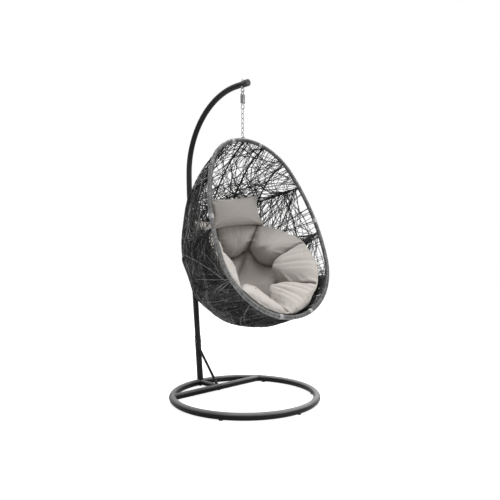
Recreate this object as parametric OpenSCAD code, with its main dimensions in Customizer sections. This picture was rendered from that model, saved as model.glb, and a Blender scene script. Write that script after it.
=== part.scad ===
// Hanging egg chair: a ring-based stand with a curved arm, a spring and chain,
// and a woven egg basket with a tufted seat cushion and a head pillow.
// Millimetres, +Z up. The basket faces -Y and the post stands at the back, +Y.
// The origin is on the floor, in the middle of the stand's footprint.

/* [Base] */
// Radius of the base ring's centreline
ring_r = 450; // [420:5:500]
// Diameter of the base ring's tube
ring_tube_d = 43; // [40:1:48]
// Height of the foot pads under the ring
pad_lift = 3; // [2:0.5:6]
// Diameter of a foot pad
pad_d = 26; // [20:1:34]
// Number of foot pads
pad_count = 6; // [4:1:8]
// Distance of the crossbar behind the ring's centre
crossbar_y = 259; // [220:1:300]
// Diameter of the crossbar
crossbar_d = 40; // [34:1:40]
// Diameter of the spur between post and crossbar
spur_d = 34; // [28:1:36]

/* [Post and arm] */
// Outer diameter of the post
post_d = 42; // [40:1:42]
// Height of the post's top over the floor
post_top = 340; // [300:5:400]
// Backward lean of the post and lower arm, in degrees
post_lean = 5.5; // [4:0.5:7]
// Outer diameter of the curved arm
arm_d = 38; // [34:1:38]
// Wall of the arm's tube
arm_wall = 2; // [1.5:0.5:3]
// Length of the arm inside the post
arm_insert = 110; // [90:5:130]
// Height at which the arm starts to bend
arm_straight_top = 1240; // [1180:5:1300]
// Radius of the arm's gentle lower bend
arm_gentle_r = 2500; // [2000:50:3500]
// Radius of the arm's upper bend
arm_bend_r = 500; // [450:5:550]
// Straight length from the upper bend to the hanging axis
arm_run = 58; // [40:1:80]
// Length of the arm's tip past the hanging axis
arm_tip = 50; // [44:1:60]
// Diameter of the brace rod
brace_d = 18; // [14:1:20]
// Height at which the brace meets the post's axis
brace_top = 268; // [250:1:280]
// Height of the through bolt over the floor
bolt_z = 300; // [290:1:305]
// Diameter of the through bolt
bolt_d = 8; // [6:1:8]
// Height of the lock screw over the floor
screw_z = 326; // [322:1:330]
// Diameter of the lock screw
screw_d = 5; // [4:0.5:5]
// Outer diameter of the end cap
cap_d = 44; // [42:1:50]
// Length of the end cap
cap_len = 40; // [32:1:40]

/* [Hanging gear] */
// Wire of the eye bolt's ring
eye_wire = 7; // [6:0.5:8]
// Centreline radius of the eye bolt's ring
eye_r = 12; // [11:0.5:14]
// Diameter of the eye bolt's shank
eye_shank_d = 10; // [8:0.5:10]
// Outer diameter of the spring
spring_d = 30; // [28:1:34]
// Wire of the spring
spring_wire = 5; // [4:0.25:5]
// Rise of one turn of the spring
spring_pitch = 5.8; // [5.7:0.1:6.5]
// Number of turns of the spring
spring_turns = 10; // [8:1:12]
// Centreline radius of the spring's top hook
hook_top_r = 10; // [9.5:0.5:11]
// Centreline radius of the spring's bottom hook
hook_low_r = 14; // [12:0.5:15]
// Number of chain links
link_count = 6; // [6:1:6]
// Wire of a chain link
link_wire = 5; // [4:0.25:5]
// Drop from one link to the next
link_pitch = 30; // [28:0.5:32]
// Width of a chain link between the centrelines of its sides
link_w = 17; // [16:0.5:18]
// Wire of the basket's hang ring
hang_wire = 7; // [6:0.5:8]
// Centreline radius of the basket's hang ring
hang_r = 19; // [17:0.5:21]

/* [Basket frame] */
// Turn of the basket about the hanging axis, in degrees
basket_turn = -5.5; // [-6:0.5:6]
// Lean of the rim's plane from the vertical, foot forward, in degrees
rim_tilt = 22.5; // [21:0.5:24]
// Distance of the rim's crown in front of the hanging axis
crown_front = 32; // [31:0.5:33]
// Diameter of the rim's tube with its wrapping
rim_d = 26; // [24:1:28]
// Length of the rim's opening, between centrelines
rim_len = 1152; // [1140:2:1160]
// Radius of the rim's top arc
rim_top_r = 333; // [325:1:340]
// Radius of the rim's bottom arc
rim_low_r = 400; // [392:1:405]
// Radius of the rim's side arcs
rim_side_r = 1140; // [1080:5:1200]
// Depth of the basket behind the rim's plane
shell_depth = 685; // [670:1:700]
// Distance of the deepest point from the crown, along the rim's plane
shell_deep_at = 513; // [500:1:530]
// Fullness of the basket's cross-section
shell_side = 2.3; // [2.2:0.05:2.4]
// Fullness of the basket over its deepest point
shell_top = 1.65; // [1.6:0.05:1.75]
// Fullness of the basket under its deepest point
shell_low = 2.55; // [2.4:0.05:2.7]
// Diameter of the ribs and hoops
rib_d = 10; // [8:1:10]
// Distance of the inner ribs from the middle
rib_inner = 143; // [135:1:150]
// Distance of the outer ribs from the middle
rib_outer = 270; // [262:1:275]
// Start of the upper, middle and lower hoop, along the rim's plane
hoop_at = [302, 616, 906];
// Fall of each hoop towards the back, in degrees
hoop_fall = [13, 20.5, 14];

/* [Weave] */
// Diameter of a strand
strand_d = 3.5; // [3:0.25:4]
// Strands of one layer between two ribs
strand_n = 5; // [4:1:6]

/* [Cushions] */
// Thickness of the seat cushion
seat_t = 105; // [90:1:120]
// Depth of the seat cushion's channels
seat_channel = 24; // [12:1:28]
// Width of the head pillow
pillow_w = 330; // [310:5:345]
// Height of the head pillow
pillow_h = 180; // [165:5:190]
// Thickness of the head pillow
pillow_t = 110; // [90:1:112]

/* [Hidden] */
fit_gap = 0.05; // radial gap of parts that slide into each other
link_gap = 0.3; // gap between links that hang in each other
ring_gap = 0.5; // gap over the hang ring, which turns in the lowest link
steel = [0.20, 0.20, 0.21];
zinc = [0.62, 0.62, 0.63];
wicker = [0.45, 0.44, 0.43];
cloth = [0.70, 0.67, 0.62];

// ---- centrelines of the stand, y measured from the ring's centre ----
ring_z = pad_lift + ring_tube_d / 2;
lean_y = (arm_straight_top - ring_z) * tan(post_lean);
straight_y = ring_r + lean_y;
gentle_cy = straight_y - arm_gentle_r * cos(post_lean);
gentle_cz = arm_straight_top + arm_gentle_r * sin(post_lean);
outer_y = gentle_cy + arm_gentle_r;
bend_cy = outer_y - arm_bend_r;
bend_cz = gentle_cz;
arm_z = bend_cz + arm_bend_r;
hang_ring_y = bend_cy - arm_run;
// the middle of the footprint is the origin
shift_y = -(outer_y + arm_d / 2 - ring_r - ring_tube_d / 2) / 2;
hang_y = hang_ring_y + shift_y;
tip_y = hang_ring_y - arm_tip;

// ---- heights of the hanging gear, top to bottom ----
arm_under = arm_z - arm_d / 2;
eye_z = arm_under - 3 - eye_wire / 2 - eye_r;
eye_low = eye_z - eye_r;
hook_high = eye_low + (eye_wire + spring_wire) / 2 + link_gap;
hook_c = hook_high - hook_top_r;
coil_r = (spring_d - spring_wire) / 2;
coil_drop = 11; // from the coil to the middle of the top hook
coil_drop2 = 22; // from the coil to the middle of the bottom hook
coil_top = hook_c - coil_drop;
coil_low = coil_top - spring_turns * spring_pitch;
hook2_c = coil_low - coil_drop2;
hook2_low = hook2_c - hook_low_r;
link_len = link_pitch + link_wire + link_gap;
link1_top = hook2_low + (spring_wire + link_wire) / 2 + link_gap;
function link_top(i) = link1_top - (i - 1) * link_pitch;
ring_high = link_top(link_count) - link_len + (link_wire + hang_wire) / 2 + ring_gap;
hang_c = ring_high - hang_r;
// the ring stands on the spine, whose first stretch leaves the rim at spine_a
spine_a = [0, rim_d / 2 - 3];
spine_b = let(b = shell_deep_at * (1 - cos(90 / 11))) [b, deep(b)];
function ahead(p) = crown_front + p[0] * sin(rim_tilt) - p[1] * cos(rim_tilt);
function fall(p) = p[0] * cos(rim_tilt) + p[1] * sin(rim_tilt);
spine_hit = spine_a + (spine_b - spine_a) * ahead(spine_a) / (ahead(spine_a) - ahead(spine_b));
crown_z = hang_c - hang_r - hang_wire / 2 - rib_d / 2 + 1.2 + fall(spine_hit);

// ---- the rim's outline: width w at distance b from the crown ----
rim_e = rim_len - rim_top_r - rim_low_r;
side_t = rim_side_r - rim_top_r;
side_l = rim_side_r - rim_low_r;
side_v = (rim_e * rim_e + side_t * side_t - side_l * side_l) / (2 * rim_e);
side_u = rim_top_r + side_v;
side_x = -sqrt(side_t * side_t - side_v * side_v);
join_t = rim_top_r - rim_top_r * side_v / side_t;
low_c = rim_len - rim_low_r;
join_l = low_c + rim_low_r * (rim_e - side_v) / side_l;
function sq(x) = x * x;
function w_top(b) = sqrt(max(0, sq(rim_top_r) - sq(b - rim_top_r)));
function w_low(b) = sqrt(max(0, sq(rim_low_r) - sq(b - low_c)));
function w_side(b) = side_x + sqrt(max(0, sq(rim_side_r) - sq(b - side_u)));
function rim_w(b) = b < join_t ? w_top(b) : b > join_l ? w_low(b) : w_side(b);
// depth of the middle section at b, and of the section at a and b
function up_x(b) = min(1, max(0, (shell_deep_at - b) / shell_deep_at));
function low_x(b) = min(1, max(0, (b - shell_deep_at) / (rim_len - shell_deep_at)));
function deep(b) = shell_depth * (b < shell_deep_at
  ? pow(1 - pow(up_x(b), shell_top), 1 / shell_top)
  : pow(1 - pow(low_x(b), shell_low), 1 / shell_low));
function part_of(a, b) = min(1, abs(a) / max(0.001, rim_w(b)));
function shell_c(a, b) = deep(b) * pow(1 - pow(part_of(a, b), shell_side), 1 / shell_side);
// b of the rim where its half width is a, over and under the widest place
function rim_b_top(a, lo = 0, hi = 500, n = 24) = n == 0 ? (lo + hi) / 2
  : rim_w((lo + hi) / 2) < a ? rim_b_top(a, (lo + hi) / 2, hi, n - 1)
  : rim_b_top(a, lo, (lo + hi) / 2, n - 1);
function rim_b_low(a, lo = 800, hi = rim_len, n = 24) = n == 0 ? (lo + hi) / 2
  : rim_w((lo + hi) / 2) > a ? rim_b_low(a, (lo + hi) / 2, hi, n - 1)
  : rim_b_low(a, lo, (lo + hi) / 2, n - 1);

// ---- vectors ----
function unit(v) = v / max(0.000001, norm(v));
function mix(p, q, t) = p + (q - p) * t;
// outward normal of the shell
function shell_n(p) = let(
    a = p[0], b = p[1], c = max(1, p[2]), w = rim_w(b), d = deep(b),
    ra = pow(abs(a) / w, shell_side), rc = pow(c / d, shell_side),
    dw = (rim_w(b + 1) - rim_w(b - 1)) / 2,
    dd = (deep(b + 1) - deep(b - 1)) / 2)
  unit([
    abs(a) < 0.001 ? 0 : ra / a,
    -ra * dw / w - rc * dd / d,
    rc / c
  ]);
// tangents and turning-free normals along a path
function path_t(p, i, loop) = let(n = len(p))
  loop ? unit(p[(i + 1) % n] - p[(i + n - 1) % n])
  : unit(p[min(i + 1, n - 1)] - p[max(i - 1, 0)]);
function side_of(v, t) = unit(v - (v * t) * t);
function carry(p, v, loop, i = 0, out = []) = i == len(p) ? out
  : let(m = side_of(i == 0 ? v : out[i - 1], path_t(p, i, loop)))
    carry(p, v, loop, i + 1, concat(out, [m]));

// A round bar of n sides along path p. v is the first point's side vector.
module bar_along(p, v, r, n, loop = false) {
  m = carry(p, v, loop);
  k = len(p);
  rr = r / cos(180 / n);
  ring_pts = [for (i = [0:k - 1]) let(t = path_t(p, i, loop), s = cross(t, m[i]))
    for (j = [0:n - 1]) let(f = 360 * (j + 0.5) / n)
      p[i] + rr * (cos(f) * m[i] + sin(f) * s)];
  last = loop ? k - 1 : k - 2;
  skin = [for (i = [0:last]) for (j = [0:n - 1])
    let(a = i * n, b = ((i + 1) % k) * n, q = (j + 1) % n)
    each [[a + j, b + j, b + q], [a + j, b + q, a + q]]];
  lids = loop ? [] : [for (j = [1:n - 2])
    each [[0, j, j + 1], [(k - 1) * n, (k - 1) * n + j + 1, (k - 1) * n + j]]];
  polyhedron(points = ring_pts, faces = concat(skin, lids), convexity = 6);
}

// A wire, whose corners lie on its radius, so that hanging parts keep their gap.
module wire_along(p, v, d, n, loop = false) {
  bar_along(p, v, d / 2 * cos(180 / n), n, loop);
}

// A straight rod from p to q.
module rod(p, q, d, f) {
  v = q - p;
  translate(p)
    rotate([0, acos(v[2] / norm(v)), atan2(v[1], v[0])])
      cylinder(h = norm(v), d = d, $fn = f);
}

// ---- placements ----
module on_stand() {
  translate([0, shift_y, 0]) children();
}
module on_basket() {
  translate([0, hang_y, 0])
    rotate([0, 0, basket_turn])
      translate([0, -crown_front, crown_z])
        rotate([-(90 + rim_tilt), 0, 0])
          children();
}
module along_post() {
  translate([0, ring_r, ring_z]) rotate([-post_lean, 0, 0]) children();
}
function post_at(z) = ring_r + (z - ring_z) * tan(post_lean);

// ---- base ----
module ring_body() {
  translate([0, 0, ring_z])
    rotate_extrude($fn = 96)
      translate([ring_r, 0]) circle(d = ring_tube_d, $fn = 48);
}
module crossbar_body(d) {
  x = sqrt(sq(ring_r) - sq(crossbar_y));
  translate([-x, crossbar_y, ring_z]) rotate([0, 90, 0]) cylinder(h = 2 * x, d = d, $fn = 48);
}
module spur_body() {
  translate([0, crossbar_y, ring_z])
    rotate([-90, 0, 0]) cylinder(h = ring_r - crossbar_y, d = spur_d, $fn = 48);
}
module post_body(h) {
  along_post() cylinder(h = h, d = post_d, $fn = 48);
}
module base_ring() {
  color(steel) on_stand() ring_body();
}
module base_crossbar() {
  color(steel) on_stand() difference() {
    crossbar_body(crossbar_d);
    ring_body();
  }
}
module base_spur() {
  color(steel) on_stand() difference() {
    spur_body();
    ring_body();
    crossbar_body(crossbar_d);
    post_body(400);
  }
}
module foot_pads() {
  color([0.08, 0.08, 0.08]) on_stand() difference() {
    for (i = [0:pad_count - 1])
      rotate([0, 0, (i + 0.5) * 360 / pad_count])
        translate([ring_r, 0, 0]) cylinder(h = pad_lift + 4, d = pad_d, $fn = 32);
    ring_body();
  }
}
module post() {
  color(steel) on_stand() difference() {
    post_body((post_top - ring_z) / cos(post_lean));
    along_post() translate([0, 0, -1])
      cylinder(h = post_top, d = arm_d + 2 * fit_gap, $fn = 48);
    ring_body();
    cross_hole(bolt_z, bolt_d + 0.2);
    cross_hole(screw_z, screw_d + 0.2);
  }
}
module cross_hole(z, d) {
  translate([-40, post_at(z), z]) rotate([0, 90, 0]) cylinder(h = 80, d = d, $fn = 24);
}
module post_brace() {
  color(steel) on_stand() difference() {
    rod([0, crossbar_y, ring_z], [0, post_at(brace_top), brace_top], brace_d, 32);
    post_body(400);
    crossbar_body(crossbar_d);
    spur_body();
  }
}

// ---- arm ----
seam = 0.02; // half the seam between two stretches of a bent tube
module tube(h, d, w) {
  difference() {
    cylinder(h = h, d = d, $fn = 48);
    translate([0, 0, -1]) cylinder(h = h + 2, d = d - 2 * w, $fn = 48);
  }
}
module arm_arc(y, z, r, f0, f1) {
  s = seam / r * 180 / PI;
  translate([0, y, z]) rotate([90, 0, 90]) rotate([0, 0, f0 + s])
    rotate_extrude(angle = f1 - f0 - 2 * s, $fn = 96)
      translate([r, 0]) difference() {
        circle(d = arm_d, $fn = 48);
        circle(d = arm_d - 2 * arm_wall, $fn = 48);
      }
}
// a sleeve inside the tube where two stretches meet
module arm_joint() {
  translate([0, 0, -15]) tube(30, arm_d - 1.6, arm_wall + 0.9);
}
module arm_body() {
  start = (post_top - arm_insert - ring_z) / cos(post_lean);
  end = (arm_straight_top - ring_z) / cos(post_lean);
  along_post() translate([0, 0, start]) tube(end - start - seam, arm_d, arm_wall);
  along_post() translate([0, 0, end]) arm_joint();
  arm_arc(gentle_cy, gentle_cz, arm_gentle_r, -post_lean, 0);
  translate([0, outer_y, gentle_cz]) arm_joint();
  arm_arc(bend_cy, bend_cz, arm_bend_r, 0, 90);
  translate([0, bend_cy, arm_z]) rotate([90, 0, 0]) arm_joint();
  translate([0, bend_cy - seam, arm_z])
    rotate([90, 0, 0]) tube(bend_cy - tip_y - seam, arm_d, arm_wall);
}
module curved_arm() {
  color(steel) on_stand() difference() {
    arm_body();
    cross_hole(bolt_z, bolt_d + 0.2);
    cross_hole(screw_z, screw_d + 0.2);
    translate([0, hang_ring_y, arm_z - 40]) cylinder(h = 80, d = eye_shank_d + 0.2, $fn = 24);
  }
}
module end_cap() {
  bore = arm_d + 2 * fit_gap;
  color([0.06, 0.06, 0.06]) on_stand() translate([0, tip_y - 3, arm_z]) rotate([-90, 0, 0])
    difference() {
      union() {
        cylinder(h = 3, d1 = cap_d - 6, d2 = cap_d, $fn = 48);
        translate([0, 0, 3]) cylinder(h = cap_len - 5, d = cap_d, $fn = 48);
        translate([0, 0, cap_len - 2]) cylinder(h = 2, d1 = cap_d, d2 = cap_d - 2, $fn = 48);
      }
      translate([0, 0, 3]) cylinder(h = cap_len, d = bore, $fn = 48);
    }
}
module across_post(z) {
  translate([0, post_at(z), z]) rotate([0, 90, 0]) children();
}
module bolt_head(z, head_d, head_h) {
  difference() {
    across_post(z) {
      translate([0, 0, post_d / 2 - 4]) cylinder(h = 4 + head_h / 2, d = head_d, $fn = 24);
      translate([0, 0, post_d / 2 + head_h / 2])
        cylinder(h = head_h / 2, d1 = head_d, d2 = head_d * 0.55, $fn = 24);
    }
    post_body(400);
  }
}
module bolt_nut(z, d, flats, h) {
  difference() {
    across_post(z) translate([0, 0, -post_d / 2 - h])
      cylinder(h = h + 4, d = flats / cos(30), $fn = 6);
    post_body(400);
    across_post(z) translate([0, 0, -post_d]) cylinder(h = post_d, d = d + 2 * fit_gap, $fn = 24);
  }
}
module bolt_shank(z, d, h) {
  across_post(z) translate([0, 0, -post_d / 2 - h]) cylinder(h = post_d + h + 1, d = d, $fn = 24);
}
module arm_bolts() {
  color(zinc) on_stand() {
    bolt_head(bolt_z, bolt_d * 2, 6);
    bolt_shank(bolt_z, bolt_d, 8);
    bolt_head(screw_z, screw_d * 2, 4);
    bolt_shank(screw_z, screw_d, 5);
  }
}
module arm_nuts() {
  color(zinc) on_stand() {
    bolt_nut(bolt_z, bolt_d, 13, 6.5);
    bolt_nut(screw_z, screw_d, 8, 4);
  }
}

// ---- hanging gear ----
module at_hang(z) {
  translate([0, hang_y, z]) children();
}
// points of a circle across X or along Y, from angle f0 to f1 off the top
function arc_pts(c, r, ax, f0, f1, n) = [for (i = [0:n]) let(f = f0 + (f1 - f0) * i / n)
  c + r * (sin(f) * ax + cos(f) * [0, 0, 1])];
function loop_pts(c, r, ax, n) = [for (i = [0:n - 1]) let(f = 360 * i / n)
  c + r * (sin(f) * ax + cos(f) * [0, 0, 1])];
module eye_bolt() {
  top = arm_z + arm_d / 2 + 14;
  color(zinc) at_hang(0) {
    translate([0, 0, eye_z + eye_r + eye_wire * 0.3])
      cylinder(h = top - eye_z - eye_r - eye_wire * 0.3, d = eye_shank_d, $fn = 12);
    wire_along(loop_pts([0, 0, eye_z], eye_r, [1, 0, 0], 24), [0, 0, 1], eye_wire, 10, true);
  }
}
module saddle(z0, h, d) {
  difference() {
    translate([0, hang_y, z0]) cylinder(h = h, d = d, $fn = 32);
    translate([0, hang_y, z0 - 1]) cylinder(h = h + 2, d = eye_shank_d + 0.2, $fn = 24);
    translate([0, hang_y - 40, arm_z]) rotate([-90, 0, 0]) cylinder(h = 80, d = arm_d, $fn = 48);
  }
}
module eye_washers() {
  color(zinc) {
    saddle(arm_z + arm_d / 2 - 5, 7, 24);
    saddle(arm_under - 2, 7, 24);
  }
}
module eye_nut() {
  color(zinc) at_hang(arm_z + arm_d / 2 + 2) difference() {
    union() {
      cylinder(h = 7, d = 17 / cos(30), $fn = 6);
      translate([0, 0, 7]) cylinder(h = 6, d1 = 16, d2 = 13, $fn = 24);
    }
    translate([0, 0, -1]) cylinder(h = 16, d = eye_shank_d + 2 * fit_gap, $fn = 24);
  }
}

// The spring's wire: top hook, close coils, bottom hook, in one path.
hook_f = 150;
function coil_pt(f) = [
  -coil_r * sin(f), coil_r * cos(f), coil_top - spring_pitch * f / 360
];
function neck(c, r, s, drop) = [
  [0, mix(r, coil_r, 0.35), c - s * drop * 0.30],
  [-s * 1.2, mix(r, coil_r, 0.85), c - s * drop * 0.62],
  [-s * 4.2, coil_r - 0.9, c - s * (drop - 1.6)]
];
coil_steps = spring_turns * 8 - 1;
spring_path = concat(
  arc_pts([0, 0, hook_c], hook_top_r, [0, 1, 0], -hook_f, 90, 12),
  neck(hook_c, hook_top_r, 1, coil_drop),
  [for (i = [1:coil_steps]) coil_pt(i * 45)],
  [for (i = [2:-1:0]) neck(hook2_c, hook_low_r, -1, coil_drop2)[i]],
  arc_pts([0, 0, hook2_c], hook_low_r, [0, 1, 0], 90, 180 + hook_f, 12)
);
// least distance between the wire's centreline and itself, a turn or more apart
function near(p, i, j) = norm(p[i] - p[j]);
spring_least = min([for (i = [0:len(spring_path) - 1]) for (j = [i + 5:1:len(spring_path) - 1])
  near(spring_path, i, j)]);
module spring() {
  echo(spring_gap = spring_least - spring_wire);
  color([0.45, 0.45, 0.46]) at_hang(0)
    wire_along(spring_path, [1, 0, 0], spring_wire, 6);
}

function link_pts(top, ax) = let(h = link_w / 2, n = 7)
  concat(
    [for (i = [0:n]) let(f = -90 + 180 * i / n)
      [0, 0, top - h] + h * (sin(f) * ax + cos(f) * [0, 0, 1])],
    [for (i = [0:n]) let(f = 90 + 180 * i / n)
      [0, 0, top - link_len + h] + h * (sin(f) * ax + cos(f) * [0, 0, 1])]
  );
module link(i) {
  ax = i % 2 == 1 ? [1, 0, 0] : [0, 1, 0];
  color(zinc) at_hang(0)
    wire_along(link_pts(link_top(i), ax), [0, 0, 1], link_wire, 8, true);
}
module chain_link_1() { link(1); }
module chain_link_2() { link(2); }
module chain_link_3() { link(3); }
module chain_link_4() { link(4); }
module chain_link_5() { link(5); }
module chain_link_6() { link(6); }

// ---- basket frame, in the rim's own frame: a across, b down, c behind ----
module rim_arc(x, y, r, f0, f1) {
  s = seam / r * 180 / PI;
  translate([x, y, 0]) rotate([0, 0, f0 + s])
    rotate_extrude(angle = f1 - f0 - 2 * s, $fn = 96) translate([r, 0]) circle(d = rim_d, $fn = 32);
}
// a core inside the rim where two of its arcs meet
module rim_core(x, y, r, f) {
  translate([x + r * cos(f), y + r * sin(f), 0]) rotate([0, 0, f])
    rotate([90, 0, 0]) translate([0, 0, -12]) cylinder(h = 24, d = rim_d - 5, $fn = 32);
}
turn_t = asin(side_v / side_t);
turn_l = asin((rim_e - side_v) / side_l);
module rim_body() {
  rim_arc(0, rim_top_r, rim_top_r, 180 + turn_t, 360 - turn_t);
  rim_arc(0, low_c, rim_low_r, turn_l, 180 - turn_l);
  rim_arc(side_x, side_u, rim_side_r, -turn_t, turn_l);
  rim_arc(-side_x, side_u, rim_side_r, 180 - turn_l, 180 + turn_t);
  rim_core(0, rim_top_r, rim_top_r, -turn_t);
  rim_core(0, rim_top_r, rim_top_r, 180 + turn_t);
  rim_core(0, low_c, rim_low_r, turn_l);
  rim_core(0, low_c, rim_low_r, 180 - turn_l);
}
module rim_hoop() {
  color(wicker) on_basket() rim_body();
}

// Path of the rib at a, from the rim over the back to the rim.
rib_start = rim_d / 2 - 3;
function rib_path(a, k = 11) = let(
    b0 = a == 0 ? 0 : rim_b_top(abs(a)), b1 = a == 0 ? rim_len : rim_b_low(abs(a)),
    bm = shell_deep_at)
  concat(
    [[a, b0, rib_start]],
    [for (i = [1:k - 1]) let(b = b0 + (bm - b0) * (1 - cos(90 * i / k))) [a, b, shell_c(a, b)]],
    [for (i = [0:k - 1]) let(b = bm + (b1 - bm) * sin(90 * i / k)) [a, b, shell_c(a, b)]],
    [[a, b1, rib_start]]
  );
module rib(a) {
  color(steel) on_basket() difference() {
    bar_along(rib_path(a), [1, 0, 0], rib_d / 2, 8);
    rim_body();
  }
}
module rib_spine() { rib(0); }
module rib_inner_left() { rib(-rib_inner); }
module rib_inner_right() { rib(rib_inner); }
module rib_outer_left() { rib(-rib_outer); }
module rib_outer_right() { rib(rib_outer); }

// Point of hoop k at angle q, from -90 at one end to 90 at the other.
function hoop_slope(k) = tan(rim_tilt - hoop_fall[k]);
function hoop_b(k, q, b, n) = n == 0 ? b
  : hoop_b(k, q, hoop_at[k] - hoop_slope(k) * deep(b) * pow(abs(cos(q)), 2 / shell_side), n - 1);
function hoop_pt(k, q) = let(b = hoop_b(k, q, hoop_at[k], 14))
  [sign(q) * rim_w(b) * pow(abs(sin(q)), 2 / shell_side), b,
    deep(b) * pow(abs(cos(q)), 2 / shell_side)];
// angle q at which hoop k crosses the rib at a
function hoop_q(k, a, lo = 0, hi = 90, n = 24) = n == 0 ? (lo + hi) / 2
  : hoop_pt(k, (lo + hi) / 2)[0] < a ? hoop_q(k, a, (lo + hi) / 2, hi, n - 1)
  : hoop_q(k, a, lo, (lo + hi) / 2, n - 1);
hoop_out = rib_d / cos(22.5) + 0.1;
cell_n = [8, 4, 4, 4, 4, 8];
hoop_marks = [for (k = [0:2]) let(q1 = hoop_q(k, rib_inner), q2 = hoop_q(k, rib_outer))
  [-90, -q2, -q1, 0, q1, q2, 90]];
function off_shell(p) = p + hoop_out * shell_n(p);
hoop_pts = [for (k = [0:2]) [for (j = [0:5]) [for (i = [0:cell_n[j]])
  let(q = mix(hoop_marks[k][j], hoop_marks[k][j + 1], i / cell_n[j]), p = hoop_pt(k, q))
  abs(q) > 89 ? [sign(q) * (rim_w(hoop_at[k]) + hoop_out * 0.4), hoop_at[k], rim_d / 2 - 5]
  : off_shell(p)]]];
// point of hoop k's centreline in cell j, u from 0 to 1 along the cell
function on_hoop(k, j, u) = let(n = cell_n[j], x = min(n - 0.0001, max(0, u * n)), i = floor(x))
  mix(hoop_pts[k][j][i], hoop_pts[k][j][i + 1], x - i);
module hoop(k) {
  path = [for (j = [0:5]) for (i = [0:cell_n[j]]) if (i > 0 || j == 0) hoop_pts[k][j][i]];
  color(steel) on_basket() difference() {
    bar_along(path, [0, 1, 0.2], rib_d / 2, 12);
    rim_body();
  }
}
module hoop_upper() { hoop(0); }
module hoop_middle() { hoop(1); }
module hoop_lower() { hoop(2); }
module hang_ring() {
  color(zinc) difference() {
    translate([0, hang_y, 0]) rotate([0, 0, basket_turn])
      wire_along(loop_pts([0, 0, hang_c], hang_r, [1, 0, 0], 24), [0, 0, 1], hang_wire, 10, true);
    on_basket() bar_along(rib_path(0), [1, 0, 0], rib_d / 2, 8);
  }
}

// ---- weave: straight strands in the cells between ribs and hoops ----
cell_s = [7, strand_n, strand_n, strand_n, strand_n, 7];
rib_marks = [0, -rib_outer, -rib_inner, 0, rib_inner, rib_outer, 0];
function rim_b(a, low) = low ? rim_b_low(abs(a)) : rim_b_top(abs(a));
// point on the rim in cell j: the upper edge of the crown, or the lower edge of the sole
function on_rim(low, j, u) = j > 0 && j < 5
  ? let(a = mix(rib_marks[j], rib_marks[j + 1], u)) [a, rim_b(a, low), 0]
  : let(
      side = j == 0 ? -1 : 1, t = j == 0 ? 1 - u : u,
      b = mix(rim_b(rib_outer, low), low ? hoop_at[2] + 24 : hoop_at[0] - 24, t))
    [side * rim_w(b), b, 0];
function edge_at(k, j, u) = k == 0 || k == 4 ? on_rim(k == 4, j, u) : on_hoop(k - 1, j, u);
function edge_t(k, j, u) = unit(edge_at(k, j, min(1, u + 0.02)) - edge_at(k, j, max(0, u - 0.02)));
inner_eye = [0, 600, 200];
function outward(v, p) = v * (p - inner_eye) < 0 ? -v : v;
hold = rib_d / 2 / cos(15) + strand_d / 2 + 0.02;
// end of a strand at edge k; side is 1 outside the hoops and -1 inside them
function strand_end(k, j, u, dir, side) = let(p = edge_at(k, j, u))
  k == 0 || k == 4
  ? p + outward(unit(cross(edge_t(k, j, u), [0, 0, 1])), [p[0], p[1], 200]) * 4 * side
    + [0, 0, rim_d / 2 + 0.5]
  : p + outward(unit(cross(edge_t(k, j, u), dir)), p) * hold * side;
module strand(k, j, u0, u1, side) {
  dir = unit(edge_at(k + 1, j, u1) - edge_at(k, j, u0));
  p = strand_end(k, j, u0, dir, side);
  q = strand_end(k + 1, j, u1, dir, side);
  rod(p - dir * (k > 0 ? 4 : 0), q + dir * (k < 3 ? 4 : 0), strand_d, 6);
}
// the strands keep off the side on which a rib bows into the cell
function cell_u(j, u) = j == 1 ? 0.22 + 0.75 * u : j == 4 ? 0.03 + 0.75 * u
  : j == 2 ? 0.02 + 0.98 * u : j == 3 ? 0.98 * u : u;
module cell_weave(k, j) {
  n = cell_s[j];
  skew = 1.5 / (n + 1.5);
  for (i = [0:n - 1]) {
    u = cell_u(j, (i + 0.5) / n * (1 - skew));
    v = cell_u(j, (i + 0.5) / n * (1 - skew) + skew);
    strand(k, j, u, v, 1);
    strand(k, j, v, u, -1);
  }
}
module weave(k) {
  color(wicker) on_basket() for (j = [0:5]) cell_weave(k, j);
}
module weave_crown() { weave(0); }
module weave_upper() { weave(1); }
module weave_lower() { weave(2); }
// Under the lower hoop the strands of the middle cells run from rib to rib.
rib_as = [-rib_outer, -rib_inner, 0, rib_inner, rib_outer];
rib_lines = [for (a = rib_as) rib_path(a)];
function turn_at(p, b, i) = p[i + 1][1] >= b ? i + (b - p[i][1]) / (p[i + 1][1] - p[i][1])
  : turn_at(p, b, i + 1);
sole_from = [for (a = rib_as)
  let(b = hoop_pt(2, sign(a) * hoop_q(2, abs(a)))[1]) turn_at(rib_path(a), b + 14, 11)];
function on_rib(m, u) = let(
    x = mix(sole_from[m], len(rib_lines[m]) - 1.25, u), i = floor(x))
  mix(rib_lines[m][i], rib_lines[m][i + 1], x - i);
hold_rib = rib_d / 2 / cos(22.5) + strand_d / 2 + 0.02;
function rib_t(m, u) = unit(on_rib(m, min(1, u + 0.01)) - on_rib(m, max(0, u - 0.01)));
function rib_end(m, u, dir, side) = let(p = on_rib(m, u))
  p + outward(unit(cross(rib_t(m, u), dir)), p) * hold_rib * side;
module sole_strand(m, u0, u1, side) {
  dir = unit(on_rib(m + 1, u1) - on_rib(m, u0));
  rod(rib_end(m, u0, dir, side) - 3 * dir, rib_end(m + 1, u1, dir, side) + 3 * dir, strand_d, 6);
}
sole_n = 9;
module weave_sole() {
  skew = 1.5 / (sole_n + 1.5);
  color(wicker) on_basket() {
    cell_weave(3, 0);
    cell_weave(3, 5);
    for (m = [0:3])
      for (i = [0:sole_n - 1]) {
        u = (i + 0.5) / sole_n * (1 - skew);
        sole_strand(m, u, u + skew, 1);
        sole_strand(m, u + skew, u, -1);
      }
  }
}

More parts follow.
